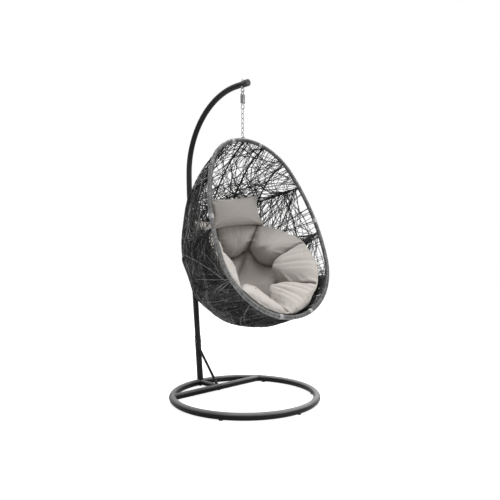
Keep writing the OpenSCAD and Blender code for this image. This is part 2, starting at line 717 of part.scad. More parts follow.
// ---- cushions ----
seat_eye = [0, 0.55556 * rim_len, 230];
seat_dir = 55;
function ramp(x) = min(1, max(0, x));
// room for the straight strands, which cut the corners of the round shell
seat_mid = 0.46875 * rim_len;
seat_sole = 0.76389 * rim_len;
seat_least = 54;
seat_room = max(seat_least, seat_least * sq(rim_len / 1152));
function seat_gap(p) = seat_room - 24 * ramp((p[1] - seat_mid) / 60)
  - 6 * ramp((p[1] - seat_sole) / 60)
  + 15.8 * ramp((p[1] - seat_sole) / 60) * ramp((abs(p[0]) - 200) / 60);
seat_front = 22;
function seat_v(th, ph) = let(
    x = sin(th) * cos(ph), y = sin(th) * sin(ph), z = cos(th))
  [x, z * cos(seat_dir) - y * sin(seat_dir), z * sin(seat_dir) + y * cos(seat_dir)];
function in_shell(p) = p[1] > 0 && p[1] < rim_len && abs(p[0]) < rim_w(p[1])
  && p[2] < shell_c(p[0], p[1]);
function reach(d, lo = 50, hi = 1200, n = 16) = n == 0 ? lo
  : in_shell(seat_eye + d * (lo + hi) / 2) ? reach(d, (lo + hi) / 2, hi, n - 1)
  : reach(d, lo, (lo + hi) / 2, n - 1);
function seat_far(d) = let(r = reach(d), p = seat_eye + d * r, m = shell_n(p))
  min(r - seat_gap(p) / max(0.35, d * m), d[2] < 0 ? (seat_eye[2] - seat_front) / -d[2] : 9999);
function spread(ph) = 78 + 27 * sq(cos(ph));
function bump(x, w) = exp(-sq(x / w));
seat_n = 8;
function off_ray(ph) = let(x = ph / 360 * seat_n, f = x - floor(x)) min(f, 1 - f);
function seat_thick(rho, ph) = let(
    edge = pow(max(0, 1 - pow(rho, 5)), 0.5),
    ring = bump(rho - 0.45, 0.05),
    ray = rho > 0.42 ? bump(off_ray(ph), 0.13) * (1 - 0.5 * sq(rho)) : 0,
    tuft = bump(rho - 0.45, 0.06) * bump(off_ray(ph), 0.16))
  seat_t * edge - seat_channel * (0.75 * ring + 0.8 * ray + 0.7 * tuft) * edge;
seat_top = [0.14, 0.28, 0.38, 0.45, 0.52, 0.62, 0.74, 0.84, 0.91, 0.96, 0.99];
seat_low = [0.99, 0.9, 0.72, 0.5, 0.25];
seat_m = 40;
module seat_cushion() {
  tops = len(seat_top);
  lows = len(seat_low);
  rows = concat(
    [for (rho = seat_top) [for (i = [0:seat_m - 1]) let(ph = 360 * i / seat_m,
        d = seat_v(spread(ph) * rho, ph)) seat_eye + d * (seat_far(d) - seat_thick(rho, ph))]],
    [[for (i = [0:seat_m - 1]) let(ph = 360 * i / seat_m, d = seat_v(spread(ph), ph))
        seat_eye + d * (seat_far(d) - 10)]],
    [for (rho = seat_low) [for (i = [0:seat_m - 1]) let(ph = 360 * i / seat_m,
        d = seat_v(spread(ph) * rho, ph)) seat_eye + d * seat_far(d)]]
  );
  n = len(rows);
  d0 = seat_v(0, 0);
  pts = concat([for (r = rows) each r],
    [seat_eye + d0 * (seat_far(d0) - seat_thick(0, 0)), seat_eye + d0 * seat_far(d0)]);
  m = seat_m;
  skin = [for (k = [0:n - 2]) for (i = [0:m - 1]) let(a = k * m, b = a + m, q = (i + 1) % m)
    each [[a + i, a + q, b + q], [a + i, b + q, b + i]]];
  lids = [for (i = [0:m - 1]) let(q = (i + 1) % m, e = (n - 1) * m)
    each [[n * m, q, i], [n * m + 1, e + i, e + q]]];
  color(cloth) on_basket() polyhedron(points = pts, faces = concat(skin, lids), convexity = 6);
}
pillow_at = [107.1, 0.75 * shell_depth - 286.15, 1188];
pillow_turn = -25;
pillow_lean = 13;
module head_pillow() {
  nu = 18;
  nv = 10;
  function bulge(x) = sqrt(max(0, 1 - sq(x)));
  function pt(i, j, s) = let(u = sin(90 * (2 * i / nu - 1)), v = sin(90 * (2 * j / nv - 1)))
    [
      pillow_w / 2 * u * (1 - 0.09 * (1 - sq(v))),
      s * pillow_t / 2 * pow(bulge(u), 0.8) * pow(bulge(v), 0.9),
      pillow_h / 2 * v * (1 - 0.13 * (1 - sq(u)))
    ];
  front = [for (i = [0:nu]) for (j = [0:nv]) pt(i, j, -1)];
  back = [for (i = [1:nu - 1]) for (j = [1:nv - 1]) pt(i, j, 1)];
  m = nv + 1;
  base = len(front);
  function at(i, j) = i == 0 || i == nu || j == 0 || j == nv ? i * m + j
    : base + (i - 1) * (nv - 1) + j - 1;
  function face(a, b, c, d, other) = other ? [[a, b, d], [b, c, d]] : [[a, b, c], [a, c, d]];
  skin = [for (i = [0:nu - 1]) for (j = [0:nv - 1])
    let(other = (i == 0 && j == nv - 1) || (i == nu - 1 && j == 0), f = i * m + j)
    each concat(
      face(f, f + 1, f + m + 1, f + m, other),
      face(at(i, j), at(i + 1, j), at(i + 1, j + 1), at(i, j + 1), other))];
  color(cloth) translate([0, hang_y, 0]) rotate([0, 0, basket_turn])
    translate(pillow_at) rotate([-pillow_lean, 0, pillow_turn])
      polyhedron(points = concat(front, back), faces = skin, convexity = 4);
}

base_ring();
base_crossbar();
base_spur();
foot_pads();
post();
post_brace();
curved_arm();
end_cap();
arm_bolts();
arm_nuts();
eye_bolt();
eye_washers();
eye_nut();
spring();
chain_link_1();
chain_link_2();
chain_link_3();
chain_link_4();
chain_link_5();
chain_link_6();
hang_ring();
rim_hoop();
rib_spine();
rib_inner_left();
rib_inner_right();
rib_outer_left();
rib_outer_right();
hoop_upper();
hoop_middle();
hoop_lower();
weave_crown();
weave_upper();
weave_lower();
weave_sole();
seat_cushion();
head_pillow();
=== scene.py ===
"""Hanging egg chair: coated stand, hanging gear, wrapped rim, wicker and cushions.

The shape helpers work in millimetres in the basket's own frame (a across, b down
the rim's plane from the crown, c behind that plane). Finished pieces are in metres."""

import math
import random

import bpy
import numpy as np
from mathutils import Matrix, Vector


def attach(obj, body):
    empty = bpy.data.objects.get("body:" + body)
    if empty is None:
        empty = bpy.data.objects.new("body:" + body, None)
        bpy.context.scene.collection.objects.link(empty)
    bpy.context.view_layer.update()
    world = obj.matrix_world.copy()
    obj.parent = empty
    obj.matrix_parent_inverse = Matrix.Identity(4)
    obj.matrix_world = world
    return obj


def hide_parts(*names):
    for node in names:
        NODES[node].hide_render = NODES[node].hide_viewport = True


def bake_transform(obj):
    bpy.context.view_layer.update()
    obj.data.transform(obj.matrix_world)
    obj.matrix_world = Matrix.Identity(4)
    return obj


bl_info = {
    "name": "Hanging Egg Chair",
    "version": (1, 0, 0),
    "blender": (4, 5, 0),
    "location": "3D View > Sidebar > Egg Chair",
    "description": "Dresses the hanging egg chair: stand, hanging gear, rim, wicker and cushions",
    "category": "Object",
}

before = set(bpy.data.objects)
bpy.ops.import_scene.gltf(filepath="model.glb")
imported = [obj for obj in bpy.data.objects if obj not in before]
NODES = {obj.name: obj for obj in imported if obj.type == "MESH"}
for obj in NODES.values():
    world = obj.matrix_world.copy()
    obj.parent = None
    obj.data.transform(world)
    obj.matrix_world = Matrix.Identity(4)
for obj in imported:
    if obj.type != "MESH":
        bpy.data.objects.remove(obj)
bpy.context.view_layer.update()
MM = 0.001

# ---- the basket's shape ----
HANG_Y = -42.4756
HANG_C = 1628.9144
TURN = math.radians(-5.5)
TILT = math.radians(22.5)
CROWN_FRONT, CROWN_SINK = 32.0, 1.2
RIM_LEN, RIM_TOP, RIM_LOW, RIM_SIDE = 1152.0, 333.0, 400.0, 1140.0
RIM_R = 13.0
DEPTH, DEEP_AT = 685.0, 513.0
FULL_SIDE, FULL_TOP, FULL_LOW = 2.3, 1.65, 2.55
RIB_SIDE, RIB_MID = 270.0, 143.0
RIBS = (-RIB_SIDE, -RIB_MID, 0.0, RIB_MID, RIB_SIDE)
RIB_NODES = ("rib_outer_left", "rib_inner_left", "rib_spine", "rib_inner_right", "rib_outer_right")
HOOP_NODES = ("hoop_upper", "hoop_middle", "hoop_lower")
WEAVE_NODES = ("weave_crown", "weave_upper", "weave_lower", "weave_sole")
HOOP_AT = (302.0, 616.0, 906.0)
HOOP_FALL = (13.0, 20.5, 14.0)
HOOP_OUT = 10.92
HOOP_REACH = 24.0
BAR_R = 5.0

# ---- the stand and the hanging gear ----
RING_Y, RING_Z, RING_R, RING_TUBE_R = -63.0244, 24.5, 450.0, 21.5
CROSS_AT, CROSS_R, SPUR_R, POST_R, BRACE_R = 259.0, 20.0, 17.0, 21.0, 9.0
POST_LEAN, BRACE_TOP = math.radians(5.5), 268.0
ARM_Z, ARM_R, WASHER = 1979.6144, 19.0, 3.0
EYE_R, EYE_WIRE_R, SHANK_R = 12.0, 3.5, 5.0
COIL_R, COIL_PITCH, COIL_TURNS, TOP_HOOK_R, LOW_HOOK_R = 12.5, 5.8, 10, 10.0, 14.0
LINK_PITCH, LINK_LEN, LINK_R, LINK_WIRE_R, LINKS = 30.0, 35.3, 8.5, 2.5, 6
HANG_R, HANG_WIRE_R = 19.0, 3.5

# ---- the weave, zone by zone from the crown down ----
CROSSING = (118, 320, 640, 860)  # strands from edge to edge
TIED = (95, 150, 260, 500)  # strands from rib to rib
OPEN_SIDE = (0.2, 0.7, 0.75, 0.3)  # share of the tied strands left out beside the rim
LIGHT_STRAND_AND_PAINTED_GLINT = (0.05, 0.46, 0.46, 0.17)  # share of light strands on the left, partly lighter strands and partly painted glints

rim_e = RIM_LEN - RIM_TOP - RIM_LOW
side_t, side_l = RIM_SIDE - RIM_TOP, RIM_SIDE - RIM_LOW
side_v = (rim_e**2 + side_t**2 - side_l**2) / (2 * rim_e)
side_x = -math.sqrt(side_t**2 - side_v**2)
side_u = RIM_TOP + side_v
join_t = RIM_TOP - RIM_TOP * side_v / side_t
low_c = RIM_LEN - RIM_LOW
join_l = low_c + RIM_LOW * (rim_e - side_v) / side_l


def rim_w(b):
    """Half width of the opening at b."""
    b = np.asarray(b, float)
    top = np.sqrt(np.maximum(0, RIM_TOP**2 - (b - RIM_TOP) ** 2))
    low = np.sqrt(np.maximum(0, RIM_LOW**2 - (b - low_c) ** 2))
    side = side_x + np.sqrt(np.maximum(0, RIM_SIDE**2 - (b - side_u) ** 2))
    return np.where(b < join_t, top, np.where(b > join_l, low, side))


def deep(b):
    """Depth of the basket's middle section at b."""
    b = np.asarray(b, float)
    up = np.clip((DEEP_AT - b) / DEEP_AT, 0, 1)
    low = np.clip((b - DEEP_AT) / (RIM_LEN - DEEP_AT), 0, 1)
    return DEPTH * np.where(
        b < DEEP_AT,
        (1 - up**FULL_TOP) ** (1 / FULL_TOP),
        (1 - low**FULL_LOW) ** (1 / FULL_LOW),
    )


def shell_c(a, b):
    """Depth of the shell at a, b."""
    part = np.minimum(1, np.abs(a) / np.maximum(0.001, rim_w(b)))
    return deep(b) * (1 - part**FULL_SIDE) ** (1 / FULL_SIDE)


def unit(v):
    v = np.asarray(v, float)
    return v / np.maximum(1e-9, np.linalg.norm(v, axis=-1, keepdims=True))


def shell_n(p):
    """Outward normal of the shell."""
    p = np.asarray(p, float)
    a, b, c = p[..., 0], np.clip(p[..., 1], 2, RIM_LEN - 2), np.maximum(1, p[..., 2])
    w, d = np.maximum(1, rim_w(b)), np.maximum(1, deep(b))
    ra, rc = (np.abs(a) / w) ** FULL_SIDE, (c / d) ** FULL_SIDE
    dw, dd = (rim_w(b + 1) - rim_w(b - 1)) / 2, (deep(b + 1) - deep(b - 1)) / 2
    x = np.where(np.abs(a) < 0.001, 0, ra / np.where(np.abs(a) < 0.001, 1, a))
    return unit(np.stack([x, -ra * dw / w - rc * dd / d, rc / c], -1))


def rim_b(a, low):
    """b of the rim where its half width is a."""
    lo, hi = (800.0, RIM_LEN) if low else (0.0, 500.0)
    for _ in range(30):
        mid = (lo + hi) / 2
        if (rim_w(mid) > a) == low:
            lo = mid
        else:
            hi = mid
    return (lo + hi) / 2


def crown_height():
    """Height of the crown, where the hang ring stands on the spine."""
    b = DEEP_AT * (1 - math.cos(math.radians(90 / 11)))
    p, q = np.array([0, 10.0]), np.array([b, float(deep(b))])

    def ahead(v):
        return CROWN_FRONT + v[0] * math.sin(TILT) - v[1] * math.cos(TILT)

    hit = p + (q - p) * ahead(p) / (ahead(p) - ahead(q))
    ring_low = HANG_C - HANG_R - HANG_WIRE_R
    return ring_low - BAR_R + CROWN_SINK + hit[0] * math.cos(TILT) + hit[1] * math.sin(TILT)


CROWN_Z = crown_height()


def turned(x, y, z):
    """Row frame, in metres, of a place in the frame that turns with the basket."""
    c, s = math.cos(TURN), math.sin(TURN)
    return np.stack([x * c - y * s, x * s + y * c + HANG_Y, z + 0 * x], -1) * MM


def on_basket(p):
    """Row frame, in metres, of places in the basket's frame."""
    p = np.asarray(p, float)
    t = -(math.pi / 2 + TILT)
    y = p[..., 1] * math.cos(t) - p[..., 2] * math.sin(t) - CROWN_FRONT
    z = p[..., 1] * math.sin(t) + p[..., 2] * math.cos(t) + CROWN_Z
    return turned(p[..., 0], y, z)


def rib_line(a, n=26):
    """The rib that lies a to the side, from the rim's top to its bottom."""
    b0, b1 = (0.0, RIM_LEN) if a == 0 else (rim_b(abs(a), False), rim_b(abs(a), True))
    k = np.arange(1, n) / n * math.pi / 2
    up = b0 + (DEEP_AT - b0) * (1 - np.cos(k))
    k = np.arange(0, n) / n * math.pi / 2
    low = DEEP_AT + (b1 - DEEP_AT) * np.sin(k)
    b = np.concatenate([up, low])
    line = np.stack([0 * b + a, b, shell_c(a, b)], -1)
    return np.vstack([[a, b0, 9.0], line, [a, b1, 9.0]])


def hoop_abc(k, q):
    """Points of the shell under hoop k, at the angles q round the wall."""
    q = np.asarray(q, float)
    slope = math.tan(TILT - math.radians(HOOP_FALL[k]))
    cq = np.abs(np.cos(q)) ** (2 / FULL_SIDE)
    b = 0 * q + HOOP_AT[k]
    for _ in range(20):
        b = HOOP_AT[k] - slope * deep(b) * cq
    a = np.sign(q) * rim_w(b) * np.abs(np.sin(q)) ** (2 / FULL_SIDE)
    return np.stack([a, b, deep(b) * cq], -1)


def hoop_line(k, n=90):
    """Hoop k from rim to rim, laid outside the ribs."""
    q = np.linspace(-math.pi / 2, math.pi / 2, n + 1)
    p = hoop_abc(k, q)
    out = p + HOOP_OUT * shell_n(p)
    for i, s in ((0, -1), (-1, 1)):
        out[i] = [s * (float(rim_w(HOOP_AT[k])) + HOOP_OUT * 0.4), HOOP_AT[k], RIM_R - 5]
    return out


def rim_line(n=1400):
    """The rim's centreline from the crown round by the right side, evenly spaced."""
    f = np.linspace(0, math.pi, 4001)
    b = RIM_LEN * (1 - np.cos(f)) / 2
    half = np.stack([rim_w(b), b], -1)
    both = np.vstack([half, (half * [-1, 1])[-2:0:-1]])
    both = np.vstack([both, both[:1]])
    run = np.concatenate([[0], np.cumsum(np.linalg.norm(np.diff(both, axis=0), axis=1))])
    s = np.arange(n) / n * run[-1]
    return np.stack([np.interp(s, run, both[:, 0]), np.interp(s, run, both[:, 1]), 0 * s], -1)


# ---- making pieces ----
def only(obj):
    """Selects obj alone and makes it active."""
    bpy.ops.object.select_all(action="DESELECT")
    obj.select_set(True)
    bpy.context.view_layer.objects.active = obj


def bars(name, lines, radius, sides=6, closed=False):
    """Round bars along lines of points, in metres, as one mesh."""
    data = bpy.data.curves.new(name, "CURVE")
    data.dimensions = "3D"
    data.bevel_depth = radius
    data.bevel_resolution = (sides - 4) // 2
    data.use_fill_caps = not closed
    for pts in lines:
        spline = data.splines.new("POLY")
        spline.points.add(len(pts) - 1)
        spline.points.foreach_set("co", np.c_[pts, np.ones(len(pts))].astype(np.float32).ravel())
        spline.use_cyclic_u = closed
    obj = bpy.data.objects.new(name, data)
    bpy.context.scene.collection.objects.link(obj)
    only(obj)
    bpy.ops.object.convert(target="MESH")
    bpy.ops.object.shade_smooth()
    return obj


def put_value(obj, name, values):
    """Keeps one number for each point of the mesh, for its finish to read."""
    layer = obj.data.attributes.new(name, "FLOAT", "POINT")
    layer.data.foreach_set("value", np.asarray(values, np.float32))


def tone_bars(obj, lines, sides, tones):
    """Gives each bar its shade. A converted curve holds its end caps first, last bar to first."""
    counts = [len(p) * sides for p in lines]
    if sum(counts) + 2 * sides * len(lines) != len(obj.data.vertices):
        raise RuntimeError(f"{obj.name}: {len(obj.data.vertices)} points, not {sum(counts)} and caps")
    put_value(obj, "tone", np.concatenate([np.repeat(tones[::-1], 2 * sides), np.repeat(tones, counts)]))
    # joins the end caps to their bars
    edit(obj, bpy.ops.mesh.remove_doubles, threshold=0.00002)


def edit(obj, change, **how):
    """Runs one of Blender's mesh operators on the whole of obj."""
    only(obj)
    bpy.ops.object.mode_set(mode="EDIT")
    bpy.ops.mesh.select_all(action="SELECT")
    change(**how)
    bpy.ops.object.mode_set(mode="OBJECT")


def started(name, add, **how):
    """A new object, made by one of Blender's primitive operators."""
    bpy.ops.object.select_all(action="DESELECT")
    add(**how)
    obj = bpy.context.active_object
    obj.name = obj.data.name = name
    return obj


def finish(obj, body, slot, *nodes, coat=None):
    """Gives a piece the finish of its slot, or of coat where one is given, its body, and hides the nodes it
    stands for.
    """
    obj.data.materials.clear()
    obj.data.materials.append(paint(coat or slot))
    if body:
        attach(obj, body)
    if nodes:
        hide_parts(*nodes)
    return obj


def coil(line, radius, turns, at, span, step=10):
    """Points of a strand wound round a line of points, from at - span/2 to at + span/2 along it."""
    run = np.concatenate([[0], np.cumsum(np.linalg.norm(np.diff(line, axis=0), axis=1))])
    n = int(turns * step)
    s = at + (np.arange(n + 1) / n - 0.5) * span
    mid = np.stack([np.interp(s, run, line[:, i]) for i in range(3)], -1)
    tan = unit(np.gradient(mid, axis=0))
    side = unit(np.cross(tan, [0.31, 0.17, 0.93]))
    up = np.cross(tan, side)
    f = np.arange(n + 1)[:, None] * 2 * math.pi / step
    return mid + radius * (np.cos(f) * side + np.sin(f) * up)


# ---- finishes ----
class Value:
    """A shader number that can be added and multiplied."""

    def __init__(self, paint, socket):
        self.paint, self.socket = paint, socket

    def math(self, kind, a, b=0.0):
        return self.paint.node("ShaderNodeMath", {"operation": kind}, {0: a, 1: b})

    def __add__(self, o):
        return self.math("ADD", self, o)

    def __sub__(self, o):
        return self.math("SUBTRACT", self, o)

    def __rsub__(self, o):
        return self.math("SUBTRACT", o, self)

    def __mul__(self, o):
        return self.math("MULTIPLY", self, o)

    __radd__, __rmul__ = __add__, __mul__

    def sin(self):
        return self.math("SINE", self)

    def clamp(self):
        return self.paint.node("ShaderNodeClamp", {}, {0: self})


class Nodes:
    """A node tree under construction."""

    def __init__(self, owner, last):
        owner.use_nodes = True
        self.tree = owner.node_tree
        self.tree.nodes.clear()
        self.last = self.tree.nodes.new(last)

    def node(self, kind, settings=None, inputs=None, out=0):
        n = self.tree.nodes.new(kind)
        for k, v in (settings or {}).items():
            if k == "stops":
                ramp = n.color_ramp
                while len(ramp.elements) < len(v):
                    ramp.elements.new(0.5)
                for e, (at, colour) in zip(ramp.elements, v):
                    e.position, e.color = at, (*colour, 1)
            else:
                setattr(n, k, v)
        for k, v in (inputs or {}).items():
            self.put(n.inputs[k], v)
        return Value(self, n.outputs[out])

    def put(self, socket, v):
        if isinstance(v, Value):
            self.tree.links.new(v.socket, socket)
        elif hasattr(v, "__len__") and len(v) == 3 and len(socket.default_value) == 4:
            socket.default_value = (*v, 1)
        else:
            socket.default_value = v

    def show(self, surface):
        """Links the surface to the output."""
        self.put(self.last.inputs[0], surface)

    def seen_by(self, ray):
        """1 where the ray is of this kind, by its place in the Light Path node."""
        return self.node("ShaderNodeLightPath", out=ray)


CAMERA_RAY, GLOSSY_RAY, TRANSMISSION_RAY = 0, 3, 6


class Finish(Nodes):
    """A material under construction."""

    def __init__(self, name):
        self.mat = bpy.data.materials.new(name)
        super().__init__(self.mat, "ShaderNodeOutputMaterial")
        self.shader = self.tree.nodes.new("ShaderNodeBsdfPrincipled")
        self.show(Value(self, self.shader.outputs[0]))

    def set(self, **sockets):
        for k, v in sockets.items():
            self.put(self.shader.inputs[k.replace("_", " ")], v)
        return self.mat

    def place(self):
        return self.node("ShaderNodeTexCoord", out=3)

    def axes(self, at=None):
        n = self.tree.nodes.new("ShaderNodeSeparateXYZ")
        self.put(n.inputs[0], at or self.place())
        return [Value(self, n.outputs[i]) for i in range(3)]

    def stretch(self, scale):
        return self.node("ShaderNodeMapping", {}, {0: self.place(), 3: scale})

    def noise(self, scale, detail=2.0, rough=0.5, at=None):
        return self.node("ShaderNodeTexNoise", {}, {0: at or self.place(), 2: scale, 3: detail, 4: rough})

    def kept(self, name):
        return self.node("ShaderNodeAttribute", {"attribute_name": name}, out=2)

    def mix(self, t, a, b):
        return self.node(
            "ShaderNodeMix",
            {"data_type": "RGBA", "clamp_factor": True},
            {0: t, 6: a if isinstance(a, Value) else (*a, 1), 7: b if isinstance(b, Value) else (*b, 1)},
            out=2,
        )

    def ramp(self, t, stops):
        return self.node("ShaderNodeValToRGB", {"stops": stops}, {0: t})

    def bump(self, height, depth, strength=1.0, under=None):
        ins = {"Height": height, "Distance": depth, "Strength": strength}
        if under:
            ins["Normal"] = under
        return self.node("ShaderNodeBump", {}, ins)


def coated(name, dark, light, rough=0.42, shine=0.3, dust_and_top_light_strength=0.35, dust_and_top_light_colour=0.07, facing=0.15):
    """Powder-coated steel: an even orange peel and small scuffs; what faces up is lighter, partly dust and
    partly painted top light.
    """
    f = Finish(name)
    cloud = f.noise(7, 4)
    speck = f.noise(420, 2)
    scuff = (f.noise(26, 6, 0.7) - 0.60) * 9
    up = f.axes(f.node("ShaderNodeNewGeometry", out=1))[2]
    # painted top light: up-facing surfaces are mixed towards a lighter colour, partly dust and partly the
    # light that falls on the tops
    dust_and_painted_top_light = ((up - facing) * dust_and_top_light_strength * (cloud + 0.4)).clamp()
    base = f.mix(cloud * 0.7 + speck * 0.3, dark, light)
    base = f.mix(dust_and_painted_top_light, base, [dust_and_top_light_colour] * 3)
    base = f.mix((scuff.clamp()) * 0.25, base, [v * 1.9 for v in light])
    peel = f.noise(650, 2, 0.5)
    return f.set(
        Base_Color=base,
        Specular_IOR_Level=shine,
        Roughness=(cloud * 0.16 + dust_and_painted_top_light * 0.3 + (rough - 0.08)).clamp(),
        Normal=f.bump(peel, 0.0003, 0.5),
    )


def plated(name, colour, rough=0.32):
    """Zinc plating: bright and slightly cloudy."""
    f = Finish(name)
    cloud = f.noise(90, 4, 0.6)
    fine = f.noise(900, 2)
    base = f.mix(cloud, [v * 0.62 for v in colour], colour)
    return f.set(
        Base_Color=base,
        Metallic=1.0,
        Roughness=cloud * 0.2 + rough,
        Normal=f.bump(fine, 0.00012, 0.5),
    )


def moulded(name, colour, rough, grain=700):
    """Moulded rubber or plastic with a fine grain."""
    f = Finish(name)
    cloud = f.noise(60, 3)
    return f.set(
        Base_Color=f.mix(cloud, colour, [v * 1.7 + 0.006 for v in colour]),
        Roughness=cloud * 0.15 + rough,
        Normal=f.bump(f.noise(grain, 2), 0.0003, 0.6),
    )


def strand_paint(name, dark, mid, light, rough=0.36, shine=0.25):
    """Extruded wicker strand: a satin skin with drawn grain, each strand in its own shade."""
    f = Finish(name)
    # the tone each strand keeps holds painted light too: the rim wrap's lit and shaded sides and the
    # weave's painted glints
    tone = f.kept("tone")
    cloud = f.noise(18, 4, 0.6)
    grain = f.noise(500, 3, 0.6)
    shade = f.ramp(
        (tone * 0.85 + cloud * 0.5 - 0.18).clamp(),
        [(0.0, dark), (0.45, mid), (0.8, light), (1.0, [v * 1.25 for v in light])],
    )
    base = f.mix(grain * 0.5, shade, [v * 0.45 for v in mid])
    return f.set(
        Base_Color=base,
        Roughness=cloud * 0.2 + grain * 0.12 + (rough - 0.12),
        Specular_IOR_Level=shine,
        Normal=f.bump(grain, 0.0005, 0.6, f.bump(f.noise(160, 2), 0.0008, 0.4)),
    )


def cloth_paint(name, light, mid, dark):
    """Plain-woven polyester: crossing yarns, slubs, soft shading in the creases."""
    f = Finish(name)
    x, y, z = f.axes()
    k = 2 * math.pi / 0.0021
    warp = ((x * 0.8 + y * 0.6) * k).sin()
    weft = ((z * 0.85 - y * 0.5 + x * 0.15) * k).sin()
    weave = warp * weft
    slub = f.noise(1.0, 2, 0.5, f.stretch((90, 90, 900)))
    slub2 = f.noise(1.0, 2, 0.5, f.stretch((900, 500, 60)))
    cloud = f.noise(5, 4, 0.6)
    fine = f.noise(650, 2, 0.6)
    crease = f.kept("crease")
    base = f.mix(cloud * 0.55 + (slub + slub2) * 0.22, mid, light)
    base = f.mix((weave * 0.5 + 0.5) * 0.16 + fine * 0.10, base, dark)
    # painted shade: each point's kept value darkens the cloth, in seams, creases and tufts
    base = f.mix(crease * 0.75, base, dark)
    wrinkle = f.noise(34, 4, 0.55)
    normal = f.bump(wrinkle, 0.006, 0.28)
    normal = f.bump(weave * 0.6 + (slub + slub2) * 0.5, 0.0007, 0.55, normal)
    return f.set(
        Base_Color=base,
        Roughness=fine * 0.1 + 0.84,
        Sheen_Weight=0.18,
        Sheen_Roughness=0.5,
        Specular_IOR_Level=0.25,
        Normal=normal,
    )


PAINTS = {}


def paint(name):
    """The finish of one slot, made the first time it is asked for."""
    c = bpy.context.scene.egg_chair
    recipes = {
        "powder_coat": (coated, c.coat_dark, c.coat_light, 0.38, 0.25),
        # painted top light: the base's up-facing surfaces are mixed strongly towards a light grey, standing
        # for the highlight along its tops, with some dust
        "base_coat": (coated, c.coat_dark, [v * 1.4 for v in c.coat_light], 0.34, 0.14, 1.7, 0.34, 0.35),
        "frame_coat": (coated, c.frame_dark, c.frame_light, 0.45, 0.2),
        "zinc": (plated, (0.46, 0.46, 0.47)),
        "spring_steel": (plated, (0.30, 0.30, 0.31), 0.3),
        "rubber_pad": (moulded, (0.015, 0.015, 0.015), 0.8),
        "cap_plastic": (moulded, (0.012, 0.012, 0.012), 0.42),
        "rim_wrap": (strand_paint, c.rim_dark, c.rim_mid, c.rim_light, 0.26, 0.6),
        "wicker": (strand_paint, c.wicker_dark, c.wicker_mid, c.wicker_light),
        "cloth": (cloth_paint, c.cloth_light, c.cloth_mid, c.cloth_dark_and_crease_shade),
    }
    if name not in PAINTS:
        make, *values = recipes[name]
        PAINTS[name] = make(name, *values)
    return PAINTS[name]


def colour(name, text, default):
    return bpy.props.FloatVectorProperty(
        name=name, description=text, subtype="COLOR", size=3, min=0, max=1, default=default
    )


def length(name, text, default):
    return bpy.props.FloatProperty(
        name=name, description=text, subtype="DISTANCE", unit="LENGTH", min=0, default=default
    )


class EggChairSettings(bpy.types.PropertyGroup):
    """Sizes and colours of the dressed chair."""

    coat_dark: colour("Coat dark", "Darker shade of the stand's powder coat", (0.006, 0.006, 0.0065))
    coat_light: colour("Coat light", "Lighter shade of the stand's powder coat", (0.012, 0.012, 0.013))
    frame_dark: colour("Frame dark", "Darker shade of the ribs and hoops", (0.007, 0.007, 0.0075))
    frame_light: colour("Frame light", "Lighter shade of the ribs and hoops", (0.014, 0.014, 0.015))
    # painted light: the rim's darkest and lightest shades are reached mostly on the shaded inner side and
    # the lit outer side of its wrapping
    rim_dark: colour("Rim dark", "Darkest strand of the rim's wrapping", (0.02, 0.02, 0.021))
    rim_mid: colour("Rim middle", "Usual strand of the rim's wrapping", (0.19, 0.19, 0.19))
    rim_light: colour("Rim light", "Lightest strand of the rim's wrapping", (0.55, 0.55, 0.55))
    wicker_dark: colour("Wicker dark", "Darkest strand of the weave", (0.010, 0.010, 0.0105))
    wicker_mid: colour("Wicker middle", "Usual strand of the weave", (0.022, 0.022, 0.0225))
    # painted light: the lightest wicker colour is also worn by the strands that stand for glints
    wicker_light: colour("Wicker light", "Lightest strand of the weave", (0.42, 0.42, 0.42))
    cloth_light: colour("Cloth light", "Light yarn of the cushions", (0.61, 0.578, 0.54))
    cloth_mid: colour("Cloth middle", "Main yarn of the cushions", (0.50, 0.47, 0.435))
    # painted shade: this colour darkens the cushions' seams and creases, and the darker yarns of the weave
    cloth_dark_and_crease_shade: colour("Cloth dark", "Cushion cloth deep in its creases", (0.085, 0.068, 0.058))
    strand: length("Strand", "Diameter of a weave strand", 0.0038)
    wrap_pitch: length("Wrap pitch", "Rise of one turn of the rim's wrapping", 0.0046)
    seat_puff: length("Seat puff", "Most that the seat's cloth may swell", 0.026)
    pillow_puff: length("Pillow puff", "Most that the pillow's cloth may swell", 0.022)
    weave_seed: bpy.props.IntProperty(
        name="Weave seed", description="Start of the weave's random run", default=7
    )


